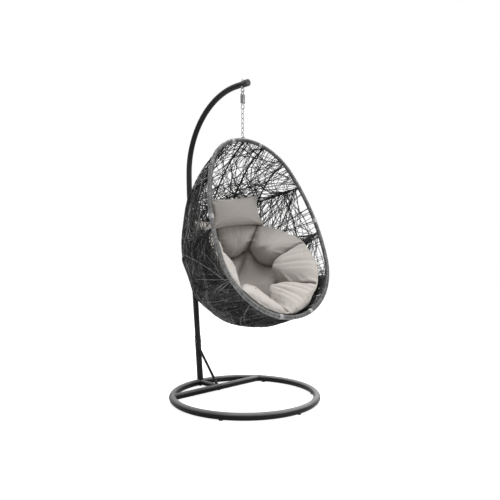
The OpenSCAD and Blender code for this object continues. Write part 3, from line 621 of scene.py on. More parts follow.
# ---- operators ----
class EGG_OT_stand(bpy.types.Operator):
    """Coats the stand and adds its weld beads"""

    bl_idname = "egg.stand"
    bl_label = "Stand"

    def execute(self, context):
        for n in ("post", "post_brace", "curved_arm"):
            self.coat(n, "powder_coat")
        for n in ("base_ring", "base_crossbar", "base_spur"):
            self.coat(n, "base_coat")
        self.coat("foot_pads", "rubber_pad")
        self.coat("end_cap", "cap_plastic")
        for n in ("arm_bolts", "arm_nuts", "eye_washers", "eye_nut"):
            self.coat(n, "zinc")
        rng = random.Random(3)

        def bead(mid, axis, ra, off):
            """A closed bead on a tube of radius ra at mid, slid along the tube to where off is least."""
            axis = unit(axis)
            side = unit(np.cross(axis, [0.2, 0.9, 0.3]))
            up = np.cross(axis, side)
            pts = []
            for i in range(60):
                f = 2 * math.pi * i / 60
                p = mid + ra * (math.cos(f) * side + math.sin(f) * up)
                p = p + min((off(p + t * axis), t) for t in np.arange(-45, 45, 0.5))[1] * axis
                pts.append(p + np.array([rng.uniform(-0.3, 0.3) for _ in range(3)]))
            return np.array(pts) * MM

        def off_ring(q):
            """Distance of q from the base ring's surface."""
            return abs(math.hypot(math.hypot(q[0], q[1] - RING_Y) - RING_R, q[2] - RING_Z) - RING_TUBE_R)

        def off_bar(mid, along, r):
            """The same for a straight tube through mid."""

            def off(q):
                d = q - mid
                return abs(np.linalg.norm(d - d.dot(along) * along) - r)

            return off

        along_x, along_y = np.array([1.0, 0, 0]), np.array([0, 1.0, 0])
        foot = np.array([0, CROSS_AT + RING_Y, RING_Z])
        end = along_x * (math.sqrt(RING_R**2 - CROSS_AT**2) - 25)
        post0 = np.array([0, RING_R + RING_Y, RING_Z])
        lean = np.array([0, math.sin(POST_LEAN), math.cos(POST_LEAN)])
        top = np.array([0, RING_R + (BRACE_TOP - RING_Z) * math.tan(POST_LEAN) + RING_Y, BRACE_TOP])
        up = unit(top - foot)
        off_cross = off_bar(foot, along_x, CROSS_R)
        lines = [
            bead(foot - end, along_x, CROSS_R, off_ring),
            bead(foot + end, along_x, CROSS_R, off_ring),
            bead(post0 - along_y * 24, along_y, SPUR_R, off_ring),
            bead(foot + along_y * 22, along_y, SPUR_R, off_cross),
            bead(post0 + lean * 24, lean, POST_R, off_ring),
            bead(foot + up * 24, up, BRACE_R, off_cross),
            bead(top - up * 26, up, BRACE_R, off_bar(post0, lean, POST_R)),
        ]
        finish(bars("weld_beads", lines, 0.0024, 8, True), "stand", "powder_coat", coat="base_coat")
        return {"FINISHED"}

    def coat(self, node, name):
        obj = NODES[node]
        obj.data.materials.clear()
        obj.data.materials.append(paint(name))


class EGG_OT_gear(bpy.types.Operator):
    """Bends the eye, the spring, the chain links and the hang ring from round wire"""

    bl_idname = "egg.gear"
    bl_label = "Hanging gear"

    def execute(self, context):
        eye_z = ARM_Z - ARM_R - WASHER - EYE_WIRE_R - EYE_R
        at = np.array([0, HANG_Y, 0])
        along_x, along_y, along_z = np.eye(3)

        def ring(c, r, ax, f0, f1, n):
            """An arc round the height c, from straight up towards ax."""
            f = np.radians(np.linspace(f0, f1, n))[:, None]
            return along_z * c + r * (np.sin(f) * ax + np.cos(f) * along_z)

        eye = ring(eye_z, EYE_R, along_x, 0, 357, 64)
        shank = np.array([[0, 0, eye_z + 13], [0, 0, ARM_Z + ARM_R + 11], [0, 0, ARM_Z + ARM_R + 13.6]])
        bolt = bars("eye_ring", [(eye + at) * MM], EYE_WIRE_R * MM, 12, True)
        rod = bars("eye_shank", [(shank + at) * MM], SHANK_R * MM, 16)
        middle = (ARM_Z + ARM_R - eye_z - 13 + 4) * MM
        turns = coil((shank[:2] + at) * MM, 0.00485, 16, middle, 0.018, 14)
        thread = bars("eye_thread", [turns], 0.0006, 4)
        finish(bolt, "stand", "zinc", "eye_bolt")
        finish(rod, "stand", "zinc")
        finish(thread, "stand", "zinc")

        hook_c = eye_z - EYE_R + 6.3 - TOP_HOOK_R
        coil_top = hook_c - 11
        coil_low = coil_top - COIL_TURNS * COIL_PITCH
        low_c2 = coil_low - 22

        def neck(c, r, s, drop):
            """Leads from a hook over to the side of the coil."""
            return [
                [0, r * 0.65 + COIL_R * 0.35, c - s * drop * 0.30],
                [-s * 1.2, r * 0.15 + COIL_R * 0.85, c - s * drop * 0.62],
                [-s * 4.2, COIL_R - 0.9, c - s * (drop - 1.6)],
            ]

        f = np.radians(np.arange(45, COIL_TURNS * 360 - 44, 15))
        fall = COIL_PITCH * f / 2 / math.pi
        body = np.stack([-COIL_R * np.sin(f), COIL_R * np.cos(f), coil_top - fall], -1)
        top_hook = ring(hook_c, TOP_HOOK_R, along_y, -150, 90, 30)
        low_hook = ring(low_c2, LOW_HOOK_R, along_y, 90, 330, 34)
        high_neck, low_neck = neck(hook_c, TOP_HOOK_R, 1, 11), neck(low_c2, LOW_HOOK_R, -1, 22)
        path = np.vstack([top_hook, high_neck, body, low_neck[::-1], low_hook])
        spring = bars("coil_spring", [(path + at) * MM], LINK_WIRE_R * MM, 10)
        finish(spring, None, "spring_steel", "spring")
        coil_top * MM
        coil_low * MM
        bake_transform(spring)

        link_top = low_c2 - LOW_HOOK_R + 5.3
        for i in range(1, LINKS + 1):
            top = link_top - (i - 1) * LINK_PITCH
            ax = along_x if i % 2 else along_y
            low = top - LINK_LEN + LINK_R
            bows = [ring(top - LINK_R, LINK_R, ax, -90, 90, 15), ring(low, LINK_R, ax, 90, 270, 15)]
            link = bars(f"link_{i}", [(np.vstack(bows) + at) * MM], LINK_WIRE_R * MM, 12, True)
            seam = along_z * np.array([[top - 19.4], [top - 15.9]]) + ax * LINK_R
            weld = bars(f"link_{i}_weld", [(seam + at) * MM], 0.0029, 12)
            only(link)
            weld.select_set(True)
            bpy.ops.object.join()
            body = "chain_upper" if i < 3 else "chain_lower"
            finish(link, body, "zinc", f"chain_link_{i}")
        f = np.linspace(0, 2 * math.pi, 65)[:-1]
        hang = turned(HANG_R * np.sin(f), 0 * f, HANG_C + HANG_R * np.cos(f))
        crown = bars("crown_ring", [hang], HANG_WIRE_R * MM, 12, True)
        finish(crown, "basket", "zinc", "hang_ring")
        return {"FINISHED"}


class EGG_OT_rim(bpy.types.Operator):
    """Makes the rim's tube and winds its wrapping round it"""

    bl_idname = "egg.rim"
    bl_label = "Wrapped rim"

    def execute(self, context):
        s = context.scene.egg_chair
        line = rim_line()
        run = np.linalg.norm(np.roll(line, -1, 0) - line, axis=1).sum()
        tan = unit(np.roll(line, -1, 0) - np.roll(line, 1, 0))
        out = np.stack([tan[:, 1], -tan[:, 0], 0 * tan[:, 0]], -1)
        step = 12
        turns = int(run * MM / s.wrap_pitch)
        n = turns * step
        at = np.arange(n) / n * len(line)
        loop = np.vstack([line, line[:1]])
        normal = np.vstack([out, out[:1]])
        idx = np.arange(len(loop))
        mid = np.stack([np.interp(at, idx, loop[:, i]) for i in range(3)], -1)
        side = unit(np.stack([np.interp(at, idx, normal[:, i]) for i in range(3)], -1))
        rng = np.random.default_rng(5)
        wob = np.interp(np.arange(n), np.arange(0, n + step, step), rng.normal(0, 0.16, turns + 1))
        f = (np.arange(n) * 2 * math.pi / step)[:, None]
        r = (10.9 + wob)[:, None]
        wrap_pts = mid + r * (np.cos(f) * side + np.sin(f) * np.array([0, 0, 1.0]))
        wrap = bars("rim_wrap", [on_basket(wrap_pts)], 0.0022, 6, True)
        # painted light: each turn is lighter on the tube's outer side and darker on its inner side, as
        # light falls on it; the rest of its tone is random per turn
        shade = np.repeat(rng.normal(0.42, 0.14, turns), step) + 0.34 * np.cos(f[:, 0] - 0.9)
        tone = np.repeat(np.clip(shade, 0, 1), 6)
        put_value(wrap, "tone", tone[: len(wrap.data.vertices)])
        finish(wrap, "basket", "rim_wrap", "rim_hoop")
        tube = bars("rim_tube", [on_basket(line[::4])], 0.0112, 16, True)
        put_value(tube, "tone", np.full(len(tube.data.vertices), 0.1))
        finish(tube, "basket", "rim_wrap")
        # tighter bindings over the joints of the tube and beside the crown
        bands = []
        for share, turns_here in ((0.035, 5), (0.965, 5), (0.235, 6), (0.765, 6), (0.455, 5), (0.53, 5)):
            bands.append(coil(loop, 13.0, turns_here, share * run, turns_here * 4.4, 16))
        band = bars("rim_bindings", [on_basket(p) for p in bands], 0.0019, 6)
        tone_bars(band, bands, 6, [0.95] * len(bands))
        finish(band, "basket", "rim_wrap")
        return {"FINISHED"}


class EGG_OT_ribs(bpy.types.Operator):
    """Bends the ribs and hoops and binds them where they cross"""

    bl_idname = "egg.ribs"
    bl_label = "Ribs and hoops"

    def execute(self, context):
        lashes = []
        for a, node in zip(RIBS, RIB_NODES):
            line = rib_line(a)
            rib = bars(node.replace("rib_", "bar_"), [on_basket(line)], BAR_R * MM, 12)
            finish(rib, "basket", "frame_coat", node)
            run = np.linalg.norm(np.diff(line, axis=0), axis=1).sum()
            lashes += [coil(line, 6.4, 6, 26, 22), coil(line, 6.4, 6, run - 26, 22)]
        for k, node in enumerate(HOOP_NODES):
            line = hoop_line(k)
            hoop = bars(node.replace("hoop_", "band_"), [on_basket(line)], BAR_R * MM, 12)
            finish(hoop, "basket", "frame_coat", node)
            run = np.concatenate([[0], np.cumsum(np.linalg.norm(np.diff(line, axis=0), axis=1))])
            lashes += [coil(line, 6.4, 6, 24, 22), coil(line, 6.4, 6, run[-1] - 24, 22)]
            for a in RIBS:
                i = int(np.argmin(np.abs(line[5:-5, 0] - a))) + 5
                lashes += [coil(line, 6.5, 4, run[i] - 11, 15), coil(line, 6.5, 4, run[i] + 11, 15)]
        lash = bars("lashings", [on_basket(p) for p in lashes], 0.0017, 6)
        tone_bars(lash, lashes, 6, [0.2 + 0.5 * (i % 3) / 2 for i in range(len(lashes))])
        finish(lash, "basket", "wicker")
        return {"FINISHED"}


def wall_angle(a, b):
    """Angle round the wall, from -90 degrees at the left rim to 90 at the right."""
    part = np.clip(np.abs(a) / np.maximum(1, rim_w(b)), 0, 1)
    return np.sign(a) * np.arcsin(part ** (FULL_SIDE / 2))


class Lattice:
    """The wall in zones: g runs across from rim to rim with the ribs at 1 to 5, t from edge to edge."""

    def __init__(self):
        self.grid = np.linspace(0, 6, 241)
        self.edges = []
        for e in range(5):
            if e in (0, 4):
                low = e == 4
                ends = HOOP_AT[2] + HOOP_REACH if low else HOOP_AT[0] - HOOP_REACH
                corner = rim_b(RIB_SIDE, low)
                pts = []
                for g in self.grid:
                    j = min(5, int(g))
                    if 0 < j < 5:
                        a = RIBS[j - 1] + (RIBS[j] - RIBS[j - 1]) * (g - j)
                        pts.append([a, rim_b(abs(a), low)])
                    else:
                        t = 1 - g if j == 0 else g - 5
                        b = corner * (1 - t) + ends * t
                        pts.append([(-1 if j == 0 else 1) * float(rim_w(b)), b])
                pts = np.array(pts)
            else:
                q = np.linspace(-math.pi / 2, math.pi / 2, 721)
                a = hoop_abc(e - 1, q)[:, 0]
                marks = [-math.pi / 2] + [float(np.interp(r, a, q)) for r in RIBS] + [math.pi / 2]
                pts = hoop_abc(e - 1, np.interp(self.grid, np.arange(7), marks))
            run = np.concatenate([[0], np.cumsum(np.linalg.norm(np.diff(pts, axis=0), axis=1))])
            self.edges.append((pts, run / run[-1]))

    def g_of(self, e, share):
        """Where a share of the way along edge e lies, counted in ribs."""
        return float(np.interp(share, self.edges[e][1], self.grid))

    def place(self, e, g, t):
        """Points of the shell in zone e."""
        (p, _), (q, _) = self.edges[e], self.edges[e + 1]
        a0, b0 = np.interp(g, self.grid, p[:, 0]), np.interp(g, self.grid, p[:, 1])
        a1, b1 = np.interp(g, self.grid, q[:, 0]), np.interp(g, self.grid, q[:, 1])
        b = b0 * (1 - t) + b1 * t
        # round the wall by angle, so that strands beside the rim keep beside it
        q0, q1 = wall_angle(a0, b0), wall_angle(a1, b1)
        q = q0 * (1 - t) + q1 * t
        turn = 2 / FULL_SIDE
        side_a = np.sign(q) * rim_w(b) * np.abs(np.sin(q)) ** turn
        by_angle = np.stack([side_a, b, deep(b) * np.abs(np.cos(q)) ** turn], -1)
        if e in (1, 2):
            return by_angle
        a = a0 * (1 - t) + a1 * t
        flat = np.stack([a, b, shell_c(a, b)], -1)
        side = np.clip(np.abs(g - 3) - 2, 0, 1)[..., None]
        return flat * (1 - side) + by_angle * side

    def strand(self, e, g, t, bow, side, outside, n=7):
        """A strand of zone e from (g0, t0) to (g1, t1), in front of one rib and behind the next."""
        s = np.linspace(0, 1, n)
        gg = np.clip(g[0] + (g[1] - g[0]) * s + bow * np.sin(math.pi * s), 0, 6)
        tt = t[0] + (t[1] - t[0]) * s
        p = self.place(e, gg, tt)
        off = side * 6.2 * np.cos(math.pi * gg)
        for edge, at in ((e, tt), (e + 1, 1 - tt)):
            near = np.clip(1 - at / 0.45, 0, 1) ** 1.5
            if edge in (0, 4):
                off = off * (1 - near)
            else:
                off = off * (1 - near) + near * (17.6 if outside else 4.0)
        return p + off[:, None] * shell_n(p)


class EGG_OT_weave(bpy.types.Operator):
    """Weaves the basket's wall from loose strands between rim, ribs and hoops"""

    bl_idname = "egg.weave"
    bl_label = "Weave"

    def execute(self, context):
        s = context.scene.egg_chair
        net = Lattice()
        going = []
        for e, node in enumerate(WEAVE_NODES):
            rng = random.Random(s.weave_seed * 31 + e)
            lines, tones = [], []
            # strands that come over the edge above go on in the same direction
            starts, going = going, []
            for i in range(CROSSING[e]):
                if starts and rng.random() < 0.5:
                    share, lean, tone = rng.choice(starts)
                else:
                    share = rng.uniform(0.004, 0.996)
                    lean = rng.choice((-1, 1)) * rng.random() ** 1.1 * 0.42
                    tone = self.tone(rng, e, share)
                # the side walls are closer woven than the back
                if e in (1, 2) and i % 4 == 0:
                    share = 0.004 + 0.3 * rng.random()
                    share = share if rng.random() < 0.85 else 1 - share
                other = share + lean + rng.gauss(0, 0.02)
                if not 0.004 < other < 0.996:
                    lean = -lean
                    other = share + lean
                    if not 0.004 < other < 0.996:
                        continue
                g = (net.g_of(e, share), net.g_of(e + 1, other))
                bow, side, outside = rng.gauss(0, 0.07), rng.choice((-1, 1)), rng.random() < 0.22
                lines.append(net.strand(e, g, (0, 1), bow, side, outside))
                tones.append(tone)
                going.append((other, lean, tone))
            # strands tied from rib to rib at any slant
            for _ in range(TIED[e]):
                span = rng.choice((1, 2, 2, 3, 4))
                g0 = rng.randint(0, 6 - span)
                if (g0 == 0 or g0 + span == 6) and rng.random() < OPEN_SIDE[e]:
                    continue
                t0 = rng.uniform(0.0, 1.0)
                t1 = min(1.0, max(0.0, t0 + rng.choice((-1, 1)) * rng.uniform(0.15, 0.5 + 0.2 * span)))
                g = (g0, g0 + span) if rng.random() < 0.5 else (g0 + span, g0)
                bow, side, outside = rng.gauss(0, 0.03), rng.choice((-1, 1)), rng.random() < 0.3
                lines.append(net.strand(e, g, (t0, t1), bow, side, outside))
                tones.append(self.tone(rng, e, max(g) / 6))
            self.make(node, lines, tones, s)
        return {"FINISHED"}

    def tone(self, rng, e, share):
        """Shade of a strand; some are light, partly as lighter strands and partly as painted glints. The
        lower wall and the right side have fewer light ones, the right side as painted shade.
        """
        # painted shade: on the right, where the wall is in shade, light strands are fewer
        light_strand_and_glint = rng.random() < LIGHT_STRAND_AND_PAINTED_GLINT[e] * (1 if share < 0.4 else 0.3)
        return min(1, max(0, rng.gauss(0.16, 0.13) + (0.5 if light_strand_and_glint else 0)))

    def make(self, node, lines, tones, s):
        obj = bars(node.replace("weave_", "wicker_"), [on_basket(p) for p in lines], s.strand / 2, 6)
        tone_bars(obj, lines, 6, tones)
        finish(obj, "basket", "wicker", node)


# ---- cushions ----
SEAT_EYE = np.array([0, 640.0, 230.0])
SEAT_COS, SEAT_SIN = math.cos(math.radians(55)), math.sin(math.radians(55))
# to and from the seat's own frame, whose z is its middle line; it is its own inverse
SEAT_POSE = np.array([[1, 0, 0], [0, -SEAT_SIN, SEAT_COS], [0, SEAT_COS, SEAT_SIN]])
# directions of the sewn channels, in degrees, from one petal to the next
SEAMS = np.radians([-52.0, -10.0, 48.0, 90.0, 132.0, 190.0, 232.0, 270.0, 308.0])
TUFTS = np.array([0.77, 0.66, 0.70, 0.72, 0.70, 0.66, 0.77, 0.80, 0.77])


def seat_v(th, ph):
    """Direction at th from the seat's middle line and ph round it."""
    p = np.stack([np.sin(th) * np.cos(ph), np.sin(th) * np.sin(ph), np.cos(th)], -1)
    return p @ SEAT_POSE


def seat_spread(ph):
    """Angle from the seat's middle line out to its edge."""
    return np.radians(78 + 27 * np.cos(ph) ** 2 + 4.5 * np.maximum(0, np.sin(ph)) ** 2)


def seat_polar(p):
    """Share of the way to the edge and angle of points seen from the seat's middle."""
    d = unit(p - SEAT_EYE) @ SEAT_POSE
    ph = np.arctan2(d[:, 1], d[:, 0])
    return np.arccos(np.clip(d[:, 2], -1, 1)) / seat_spread(ph), ph


def in_shell(p):
    """Whether points lie inside the basket."""
    a, b, c = p[:, 0], p[:, 1], p[:, 2]
    return (b > 0) & (b < RIM_LEN) & (np.abs(a) < rim_w(b)) & (c < shell_c(a, b))


def ramp01(x):
    """x kept between 0 and 1."""
    return np.clip(x, 0, 1)


def seat_far(d):
    """Distance from the seat's middle to its underside, along d."""
    lo, hi = np.full(len(d), 50.0), np.full(len(d), 1200.0)
    for _ in range(18):
        mid = (lo + hi) / 2
        inside = in_shell(SEAT_EYE + d * mid[:, None])
        lo, hi = np.where(inside, mid, lo), np.where(inside, hi, mid)
    p = SEAT_EYE + d * lo[:, None]
    gap = 54 - 24 * ramp01((p[:, 1] - 540) / 60) - 6 * ramp01((p[:, 1] - 880) / 60)
    gap += 15.8 * ramp01((p[:, 1] - 880) / 60) * ramp01((np.abs(p[:, 0]) - 200) / 60)
    face = np.maximum(0.35, (d * shell_n(p)).sum(-1))
    far = lo - gap / face
    front = np.where(d[:, 2] < 0, (SEAT_EYE[2] - 22) / np.maximum(1e-6, -d[:, 2]), 9999)
    return np.minimum(far, front)


def bump(x, w):
    """A rounded hill of height 1 and half width w."""
    return np.exp(-((x / w) ** 2))


def lobe_seam(rho, ph):
    """Way to the nearest seam of the four lobes in the seat's middle."""
    d = np.abs(np.mod(ph[:, None] - SEAMS[:8:2] + math.pi, 2 * math.pi) - math.pi)
    return np.maximum(rho, 0.12) * d.min(1)


def petal_of(rho, ph):
    """Where a point lies between its two seams, its way to the nearer one and the tufts' ring there."""
    f = np.mod(ph - SEAMS[0], 2 * math.pi) + SEAMS[0]
    k = np.clip(np.searchsorted(SEAMS, f, side="right") - 1, 0, 7)
    part = (f - SEAMS[k]) / (SEAMS[k + 1] - SEAMS[k])
    away = np.minimum(f - SEAMS[k], SEAMS[k + 1] - f)
    ring = TUFTS[k] + (TUFTS[k + 1] - TUFTS[k]) * part
    ring = ring - 0.15 * np.sin(math.pi * np.clip(part, 0, 1)) ** 0.8
    return part, np.maximum(rho, 0.25) * away, ring


def channels(rho, ph):
    """Depth, from 0 to 1, of the sewn channels, and the same of the tufts."""
    _, away, ring = petal_of(rho, ph)
    ray = bump(away, 0.028) * ramp01((rho - ring + 0.03) / 0.04)
    inner = bump(lobe_seam(rho, ph), 0.03) * ramp01((ring - rho) / 0.05) * ramp01((rho - 0.06) / 0.08) * 0.7
    round_seam = bump(rho - ring, 0.026)
    tuft = bump(rho - ring, 0.05) * bump(away, 0.06)
    return np.maximum(np.maximum(ray, round_seam), inner), np.maximum(tuft, bump(rho, 0.07))


def dome(x, steep=2.4, power=0.5):
    """Rises from 0 to 1 as x goes from 0 to 1, steeply at first."""
    return (1 - (1 - np.clip(x, 0, 1)) ** steep) ** power


def petals(rho, ph):
    """Thickness of the filling: eight plump petals round low lobes."""
    _, away, ring = petal_of(rho, ph)
    # the petals in front are the fullest
    full = 122 * (1 + 0.42 * np.clip(0.35 - np.sin(ph), 0, 1))
    outer = 42 + full * dome(away / 0.30) * dome((rho - ring) / 0.18)
    outer *= np.maximum(0, 1 - np.clip((rho - 0.74) / 0.26, 0, 1) ** 2.3) ** 0.5
    lobe = dome(lobe_seam(rho, ph) / 0.24, 2.2, 0.55) * dome((ring - rho) / 0.2, 2.2)
    inner = 44 + 72 * lobe * (1 - 0.6 * bump(rho, 0.10))
    return np.where(rho > ring, outer, inner)


def swell(obj, pressure, cap, pins=None, frames=20):
    """Fills the cloth with the simulation and keeps what comes out, no point moving over cap."""
    scene = bpy.context.scene
    rest = points_of(obj)
    if pins is not None:
        group = obj.vertex_groups.new(name="sewn")
        for level in (0.25, 0.5, 0.75, 1.0):
            chosen = np.nonzero((pins > level - 0.125) & (pins <= level + 0.125))[0]
            if len(chosen):
                group.add(chosen.tolist(), level, "REPLACE")
    mod = obj.modifiers.new("fill", "CLOTH")
    c = mod.settings
    c.quality = 5
    c.mass = 0.3
    c.tension_stiffness = c.compression_stiffness = 12
    c.shear_stiffness = 5
    c.bending_stiffness = 0.4
    c.use_pressure = True
    c.uniform_pressure_force = pressure
    c.effector_weights.gravity = 0
    if pins is not None:
        c.vertex_group_mass = "sewn"
    scene.frame_start, scene.frame_end = 1, frames
    for f in range(1, frames + 1):
        scene.frame_set(f)
    only(obj)
    bpy.ops.object.modifier_apply(modifier="fill")
    scene.frame_set(1)
    move = points_of(obj) - rest
    far = np.linalg.norm(move, axis=1, keepdims=True)
    # the travel runs smoothly into the cap
    kept = cap * np.tanh(far / cap)
    put_points(obj, rest + move / np.maximum(far, 1e-9) * kept)
    obj.vertex_groups.clear()


def points_of(obj):
    co = np.empty(len(obj.data.vertices) * 3, np.float32)
    obj.data.vertices.foreach_get("co", co)
    return co.reshape(-1, 3).astype(float)


def put_points(obj, co):
    obj.data.vertices.foreach_set("co", np.asarray(co, np.float32).ravel())
    obj.data.update()


def normals_of(obj):
    no = np.empty(len(obj.data.vertices) * 3, np.float32)
    obj.data.vertex_normals.foreach_get("vector", no)
    return no.reshape(-1, 3).astype(float)


def remesh(obj, size):
    obj.data.remesh_voxel_size = size
    obj.data.remesh_voxel_adaptivity = 0
    only(obj)
    bpy.ops.object.voxel_remesh()


def refine(obj, levels=1):
    mod = obj.modifiers.new("round", "SUBSURF")
    mod.levels = mod.render_levels = levels
    only(obj)
    bpy.ops.object.modifier_apply(modifier="round")
    bpy.ops.object.shade_smooth()


def off_basket(p):
    """Back from the row frame, in metres, to the basket's frame."""
    q = (np.asarray(p, float) / MM - [0, HANG_Y, 0]) @ np.array(Matrix.Rotation(TURN, 3, "Z"))
    y, z = q[:, 1] + CROWN_FRONT, q[:, 2] - CROWN_Z
    t = math.pi / 2 + TILT
    return np.stack([q[:, 0], y * math.cos(t) - z * math.sin(t), y * math.sin(t) + z * math.cos(t)], -1)


class EGG_OT_seat(bpy.types.Operator):
    """Sews and fills the tufted seat cushion"""

    bl_idname = "egg.seat"
    bl_label = "Seat cushion"

    def execute(self, context):
        s = context.scene.egg_chair
        sphere = bpy.ops.mesh.primitive_uv_sphere_add
        obj = started("seat_padding", sphere, segments=192, ring_count=120, radius=1)
        v = points_of(obj)
        th = np.arccos(np.clip(v[:, 2], -1, 1))
        ph = np.arctan2(v[:, 1], v[:, 0])
        top = th < math.pi / 2
        x = np.where(top, th, math.pi - th) / (math.pi / 2)
        rho = np.sin(x * math.pi / 2) ** 0.9
        d = seat_v(seat_spread(ph) * rho, ph)
        far = seat_far(d)
        r = np.where(top, far - 3 - petals(rho, ph), far - 3)
        put_points(obj, on_basket(SEAT_EYE + d * r[:, None]))
        remesh(obj, 0.0075)
        co = off_basket(points_of(obj))
        rho, ph = seat_polar(co)
        sewn, _ = channels(rho, ph)
        depth = np.linalg.norm(co - SEAT_EYE, axis=1)
        below = depth > seat_far(unit(co - SEAT_EYE)) - 12
        pins = np.where(below & (rho < 0.96), 1.0, np.clip(sewn * 1.6 - 0.5, 0, 1))
        swell(obj, 5.0, s.seat_puff, np.round(pins * 4) / 4)
        refine(obj)
        # gathers run out from the seams and the tufts
        co = points_of(obj)
        loc = off_basket(co)
        rho, ph = seat_polar(loc)
        sewn, tuft = channels(rho, ph)
        part, away, ring = petal_of(rho, ph)
        up = np.linalg.norm(loc - SEAT_EYE, axis=1) < seat_far(unit(loc - SEAT_EYE)) - 14
        rng = np.random.default_rng(11)
        wave = np.zeros(len(co))
        hem = 0.4 + 1.2 * np.clip(-np.sin(ph), 0, 1) ** 2
        out = rho - ring
        spread, reach = np.arctan2(out, away), np.hypot(out, away)
        for k, amp in ((52, 1.0), (83, 0.7), (121, 0.45)):
            a, b, c = rng.uniform(0, 6, 3)
            by_seam = np.sin(rho * k + 2.5 * np.sin(part * 7 + a)) * bump(away - 0.045, 0.05) * (out > 0)
            by_ring = np.sin(part * k * 0.30 + 1.5 * np.sin(rho * 9 + b) + c) * bump(out - 0.05, 0.05)
            by_hem = np.sin(part * k * 0.42 + a + 1.7 * np.sin(rho * 9)) * bump(rho - 0.95, 0.09)
            by_tuft = np.sin(spread * k * 0.16 + b) * bump(reach - 0.07, 0.06)
            wave += amp * (by_seam + by_ring + hem * by_hem + by_tuft)
        # a sewn line runs along the front edge
        front = bump(np.mod(ph, 2 * math.pi) - math.radians(252), 0.36)
        lift = wave * 1.9 * up - 3.0 * bump(rho - 0.93, 0.008) * front
        put_points(obj, co + normals_of(obj) * (lift * MM)[:, None])
        # painted shade: the whole seat is darkened a little, the well in the middle less than the petals,
        # and the seams, the tufts and the sewn line along the front edge most
        shade = 0.26 - 0.16 * (rho < ring) + np.maximum(sewn**2, tuft) * up * 0.95
        put_value(obj, "crease", np.clip(shade + bump(rho - 0.93, 0.006) * 0.8 * front, 0, 1))
        finish(obj, "basket", "cloth", "seat_cushion")
        return {"FINISHED"}


class EGG_OT_pillow(bpy.types.Operator):
    """Sews and fills the head pillow"""

    bl_idname = "egg.pillow"
    bl_label = "Head pillow"

    def execute(self, context):
        s = context.scene.egg_chair
        obj = started("head_padding", bpy.ops.mesh.primitive_cube_add, size=2)
        edit(obj, bpy.ops.mesh.subdivide, number_cuts=31)
        v = points_of(obj)
        u, side, w = v[:, 0], v[:, 1], v[:, 2]
        round_u, round_w = np.sqrt(np.maximum(0, 1 - u**2)), np.sqrt(np.maximum(0, 1 - w**2))
        local = np.stack(
            [
                184 * u * (1 - 0.07 * (1 - w**2)) * (1 - 0.045 * w),
                side * (50 * round_u**0.75 * round_w**0.85 + 3.5),
                111 * w * (1 - 0.09 * (1 - u**2)),
            ],
            -1,
        )
        put_points(obj, self.to_row(local))
        remesh(obj, 0.0045)
        swell(obj, 4.5, s.pillow_puff)
        refine(obj)
        co = points_of(obj)
        loc = self.to_local(co)
        u, w = loc[:, 0] / 190, loc[:, 2] / 110
        rng = np.random.default_rng(4)
        wave = np.zeros(len(co))
        for su in (-1, 1):
            for sw in (-1, 1):
                du, dw = (u - su) * 190, (w - sw) * 110
                dist, ang = np.hypot(du, dw), np.arctan2(dw, du)
                wave += np.sin(ang * 13 + rng.uniform(0, 6)) * bump(dist - 42, 38) * 2.6
                wave += np.sin(ang * 22 + rng.uniform(0, 6)) * bump(dist - 30, 24) * 1.5
        seam = bump(loc[:, 1], 2.2)
        wave += 0.7 * np.sin(u * 60) * bump(loc[:, 1], 16) * ramp01((np.abs(w) - 0.6) * 4)
        put_points(obj, co + normals_of(obj) * ((wave - 1.6 * seam) * MM)[:, None])
        # painted shade: the cloth is darkened along the seam
        put_value(obj, "crease", np.clip(seam * 0.55, 0, 1))
        finish(obj, "basket", "cloth", "head_pillow")
        return {"FINISHED"}

    AT = np.array([107.1, 227.6, 1188.0])
    YAW, LEAN = math.radians(-25), math.radians(-13)
    # turned about its height, then leaned back
    POSE = np.array(Matrix.Rotation(LEAN, 3, "X") @ Matrix.Rotation(YAW, 3, "Z"))

    def to_row(self, p):
        """Row frame, in metres, of places in the pillow's own frame."""
        return turned(*(p @ self.POSE.T + self.AT).T)

    def to_local(self, p):
        q = (p / MM - [0, HANG_Y, 0]) @ np.array(Matrix.Rotation(TURN, 3, "Z"))
        return (q - self.AT) @ self.POSE


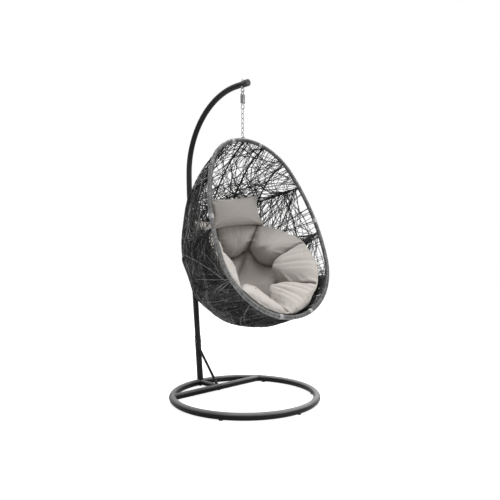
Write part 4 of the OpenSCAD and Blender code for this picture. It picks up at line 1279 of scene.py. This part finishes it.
class EGG_OT_stage(bpy.types.Operator):
    """Sets the floor, the lamps and the camera"""

    bl_idname = "egg.stage"
    bl_label = "Stage"

    def execute(self, context):
        scene = context.scene
        floor = started("floor", bpy.ops.mesh.primitive_plane_add, size=60)
        f = Finish("pale_floor")
        pale = f.mix(f.noise(3, 3), (0.80, 0.80, 0.80), (0.82, 0.82, 0.82))
        f.set(Base_Color=pale, Roughness=0.9, Specular_IOR_Level=0.1)
        # the floor is as white as the room; only what stands on it darkens it
        lift = f.seen_by(CAMERA_RAY) * 0.86 + f.seen_by(GLOSSY_RAY) * 0.15
        glow = f.node("ShaderNodeEmission", {}, {"Color": (1, 1, 1), "Strength": lift})
        lit = Value(f, f.shader.outputs[0])
        f.show(f.node("ShaderNodeAddShader", {}, {0: lit, 1: glow}))
        floor.data.materials.append(f.mat)

        world = scene.world or bpy.data.worlds.new("studio")
        scene.world = world
        w = Nodes(world, "ShaderNodeOutputWorld")
        direct = w.seen_by(CAMERA_RAY)
        for ray in (GLOSSY_RAY, TRANSMISSION_RAY):
            direct = direct.math("MAXIMUM", direct, w.seen_by(ray))
        room, white = [
            w.node("ShaderNodeBackground", {}, {0: (1, 1, 1), 1: power}) for power in (0.17, 1.0)
        ]
        w.show(w.node("ShaderNodeMixShader", {}, {0: direct, 1: room, 2: white}))

        for name, place, aim, size, power in (
            ("top", (0.6, -0.6, 4.4), (0, -0.1, 1.0), 3.0, 225),
            ("key", (-3.0, -1.2, 3.2), (0, -0.1, 1.1), 1.0, 14),
            ("fill", (0.9, -4.0, 2.2), (0, -0.1, 1.0), 2.4, 60),
            ("back", (0.8, 2.8, 3.2), (0, 0, 1.2), 2.0, 45),
        ):
            lamp = bpy.data.lights.new(name, "AREA")
            lamp.energy, lamp.size = power, size
            obj = bpy.data.objects.new(name, lamp)
            scene.collection.objects.link(obj)
            obj.location = place
            obj.rotation_euler = (Vector(aim) - Vector(place)).to_track_quat("-Z", "Y").to_euler()

        cam = bpy.data.cameras.new("camera")
        cam.lens, cam.sensor_width = 38.66, 36
        cam.clip_start, cam.clip_end = 0.05, 200
        obj = bpy.data.objects.new("camera", cam)
        scene.collection.objects.link(obj)
        obj.location = (-2.2999, -2.5333, 0.9329)
        obj.rotation_euler = Vector((0.6884, 0.7254, 0)).to_track_quat("-Z", "Y").to_euler()
        scene.camera = obj
        scene.view_settings.view_transform = "Standard"
        return {"FINISHED"}


class EGG_PT_panel(bpy.types.Panel):
    """Steps that dress the chair"""

    bl_idname = "EGG_PT_panel"
    bl_label = "Egg Chair"
    bl_space_type = "VIEW_3D"
    bl_region_type = "UI"
    bl_category = "Egg Chair"

    def draw(self, context):
        for name in EggChairSettings.__annotations__:
            self.layout.prop(context.scene.egg_chair, name)
        for step in STEPS:
            self.layout.operator(step.bl_idname)


STEPS = (
    EGG_OT_stand,
    EGG_OT_gear,
    EGG_OT_rim,
    EGG_OT_ribs,
    EGG_OT_weave,
    EGG_OT_seat,
    EGG_OT_pillow,
    EGG_OT_stage,
)


def register():
    for cls in (EggChairSettings, *STEPS, EGG_PT_panel):
        bpy.utils.register_class(cls)
    bpy.types.Scene.egg_chair = bpy.props.PointerProperty(type=EggChairSettings)


def unregister():
    del bpy.types.Scene.egg_chair
    for cls in reversed((EggChairSettings, *STEPS, EGG_PT_panel)):
        bpy.utils.unregister_class(cls)


def main():
    register()
    for step in STEPS:
        group, name = step.bl_idname.split(".")
        getattr(getattr(bpy.ops, group), name)()


if __name__ == "__main__":
    main()
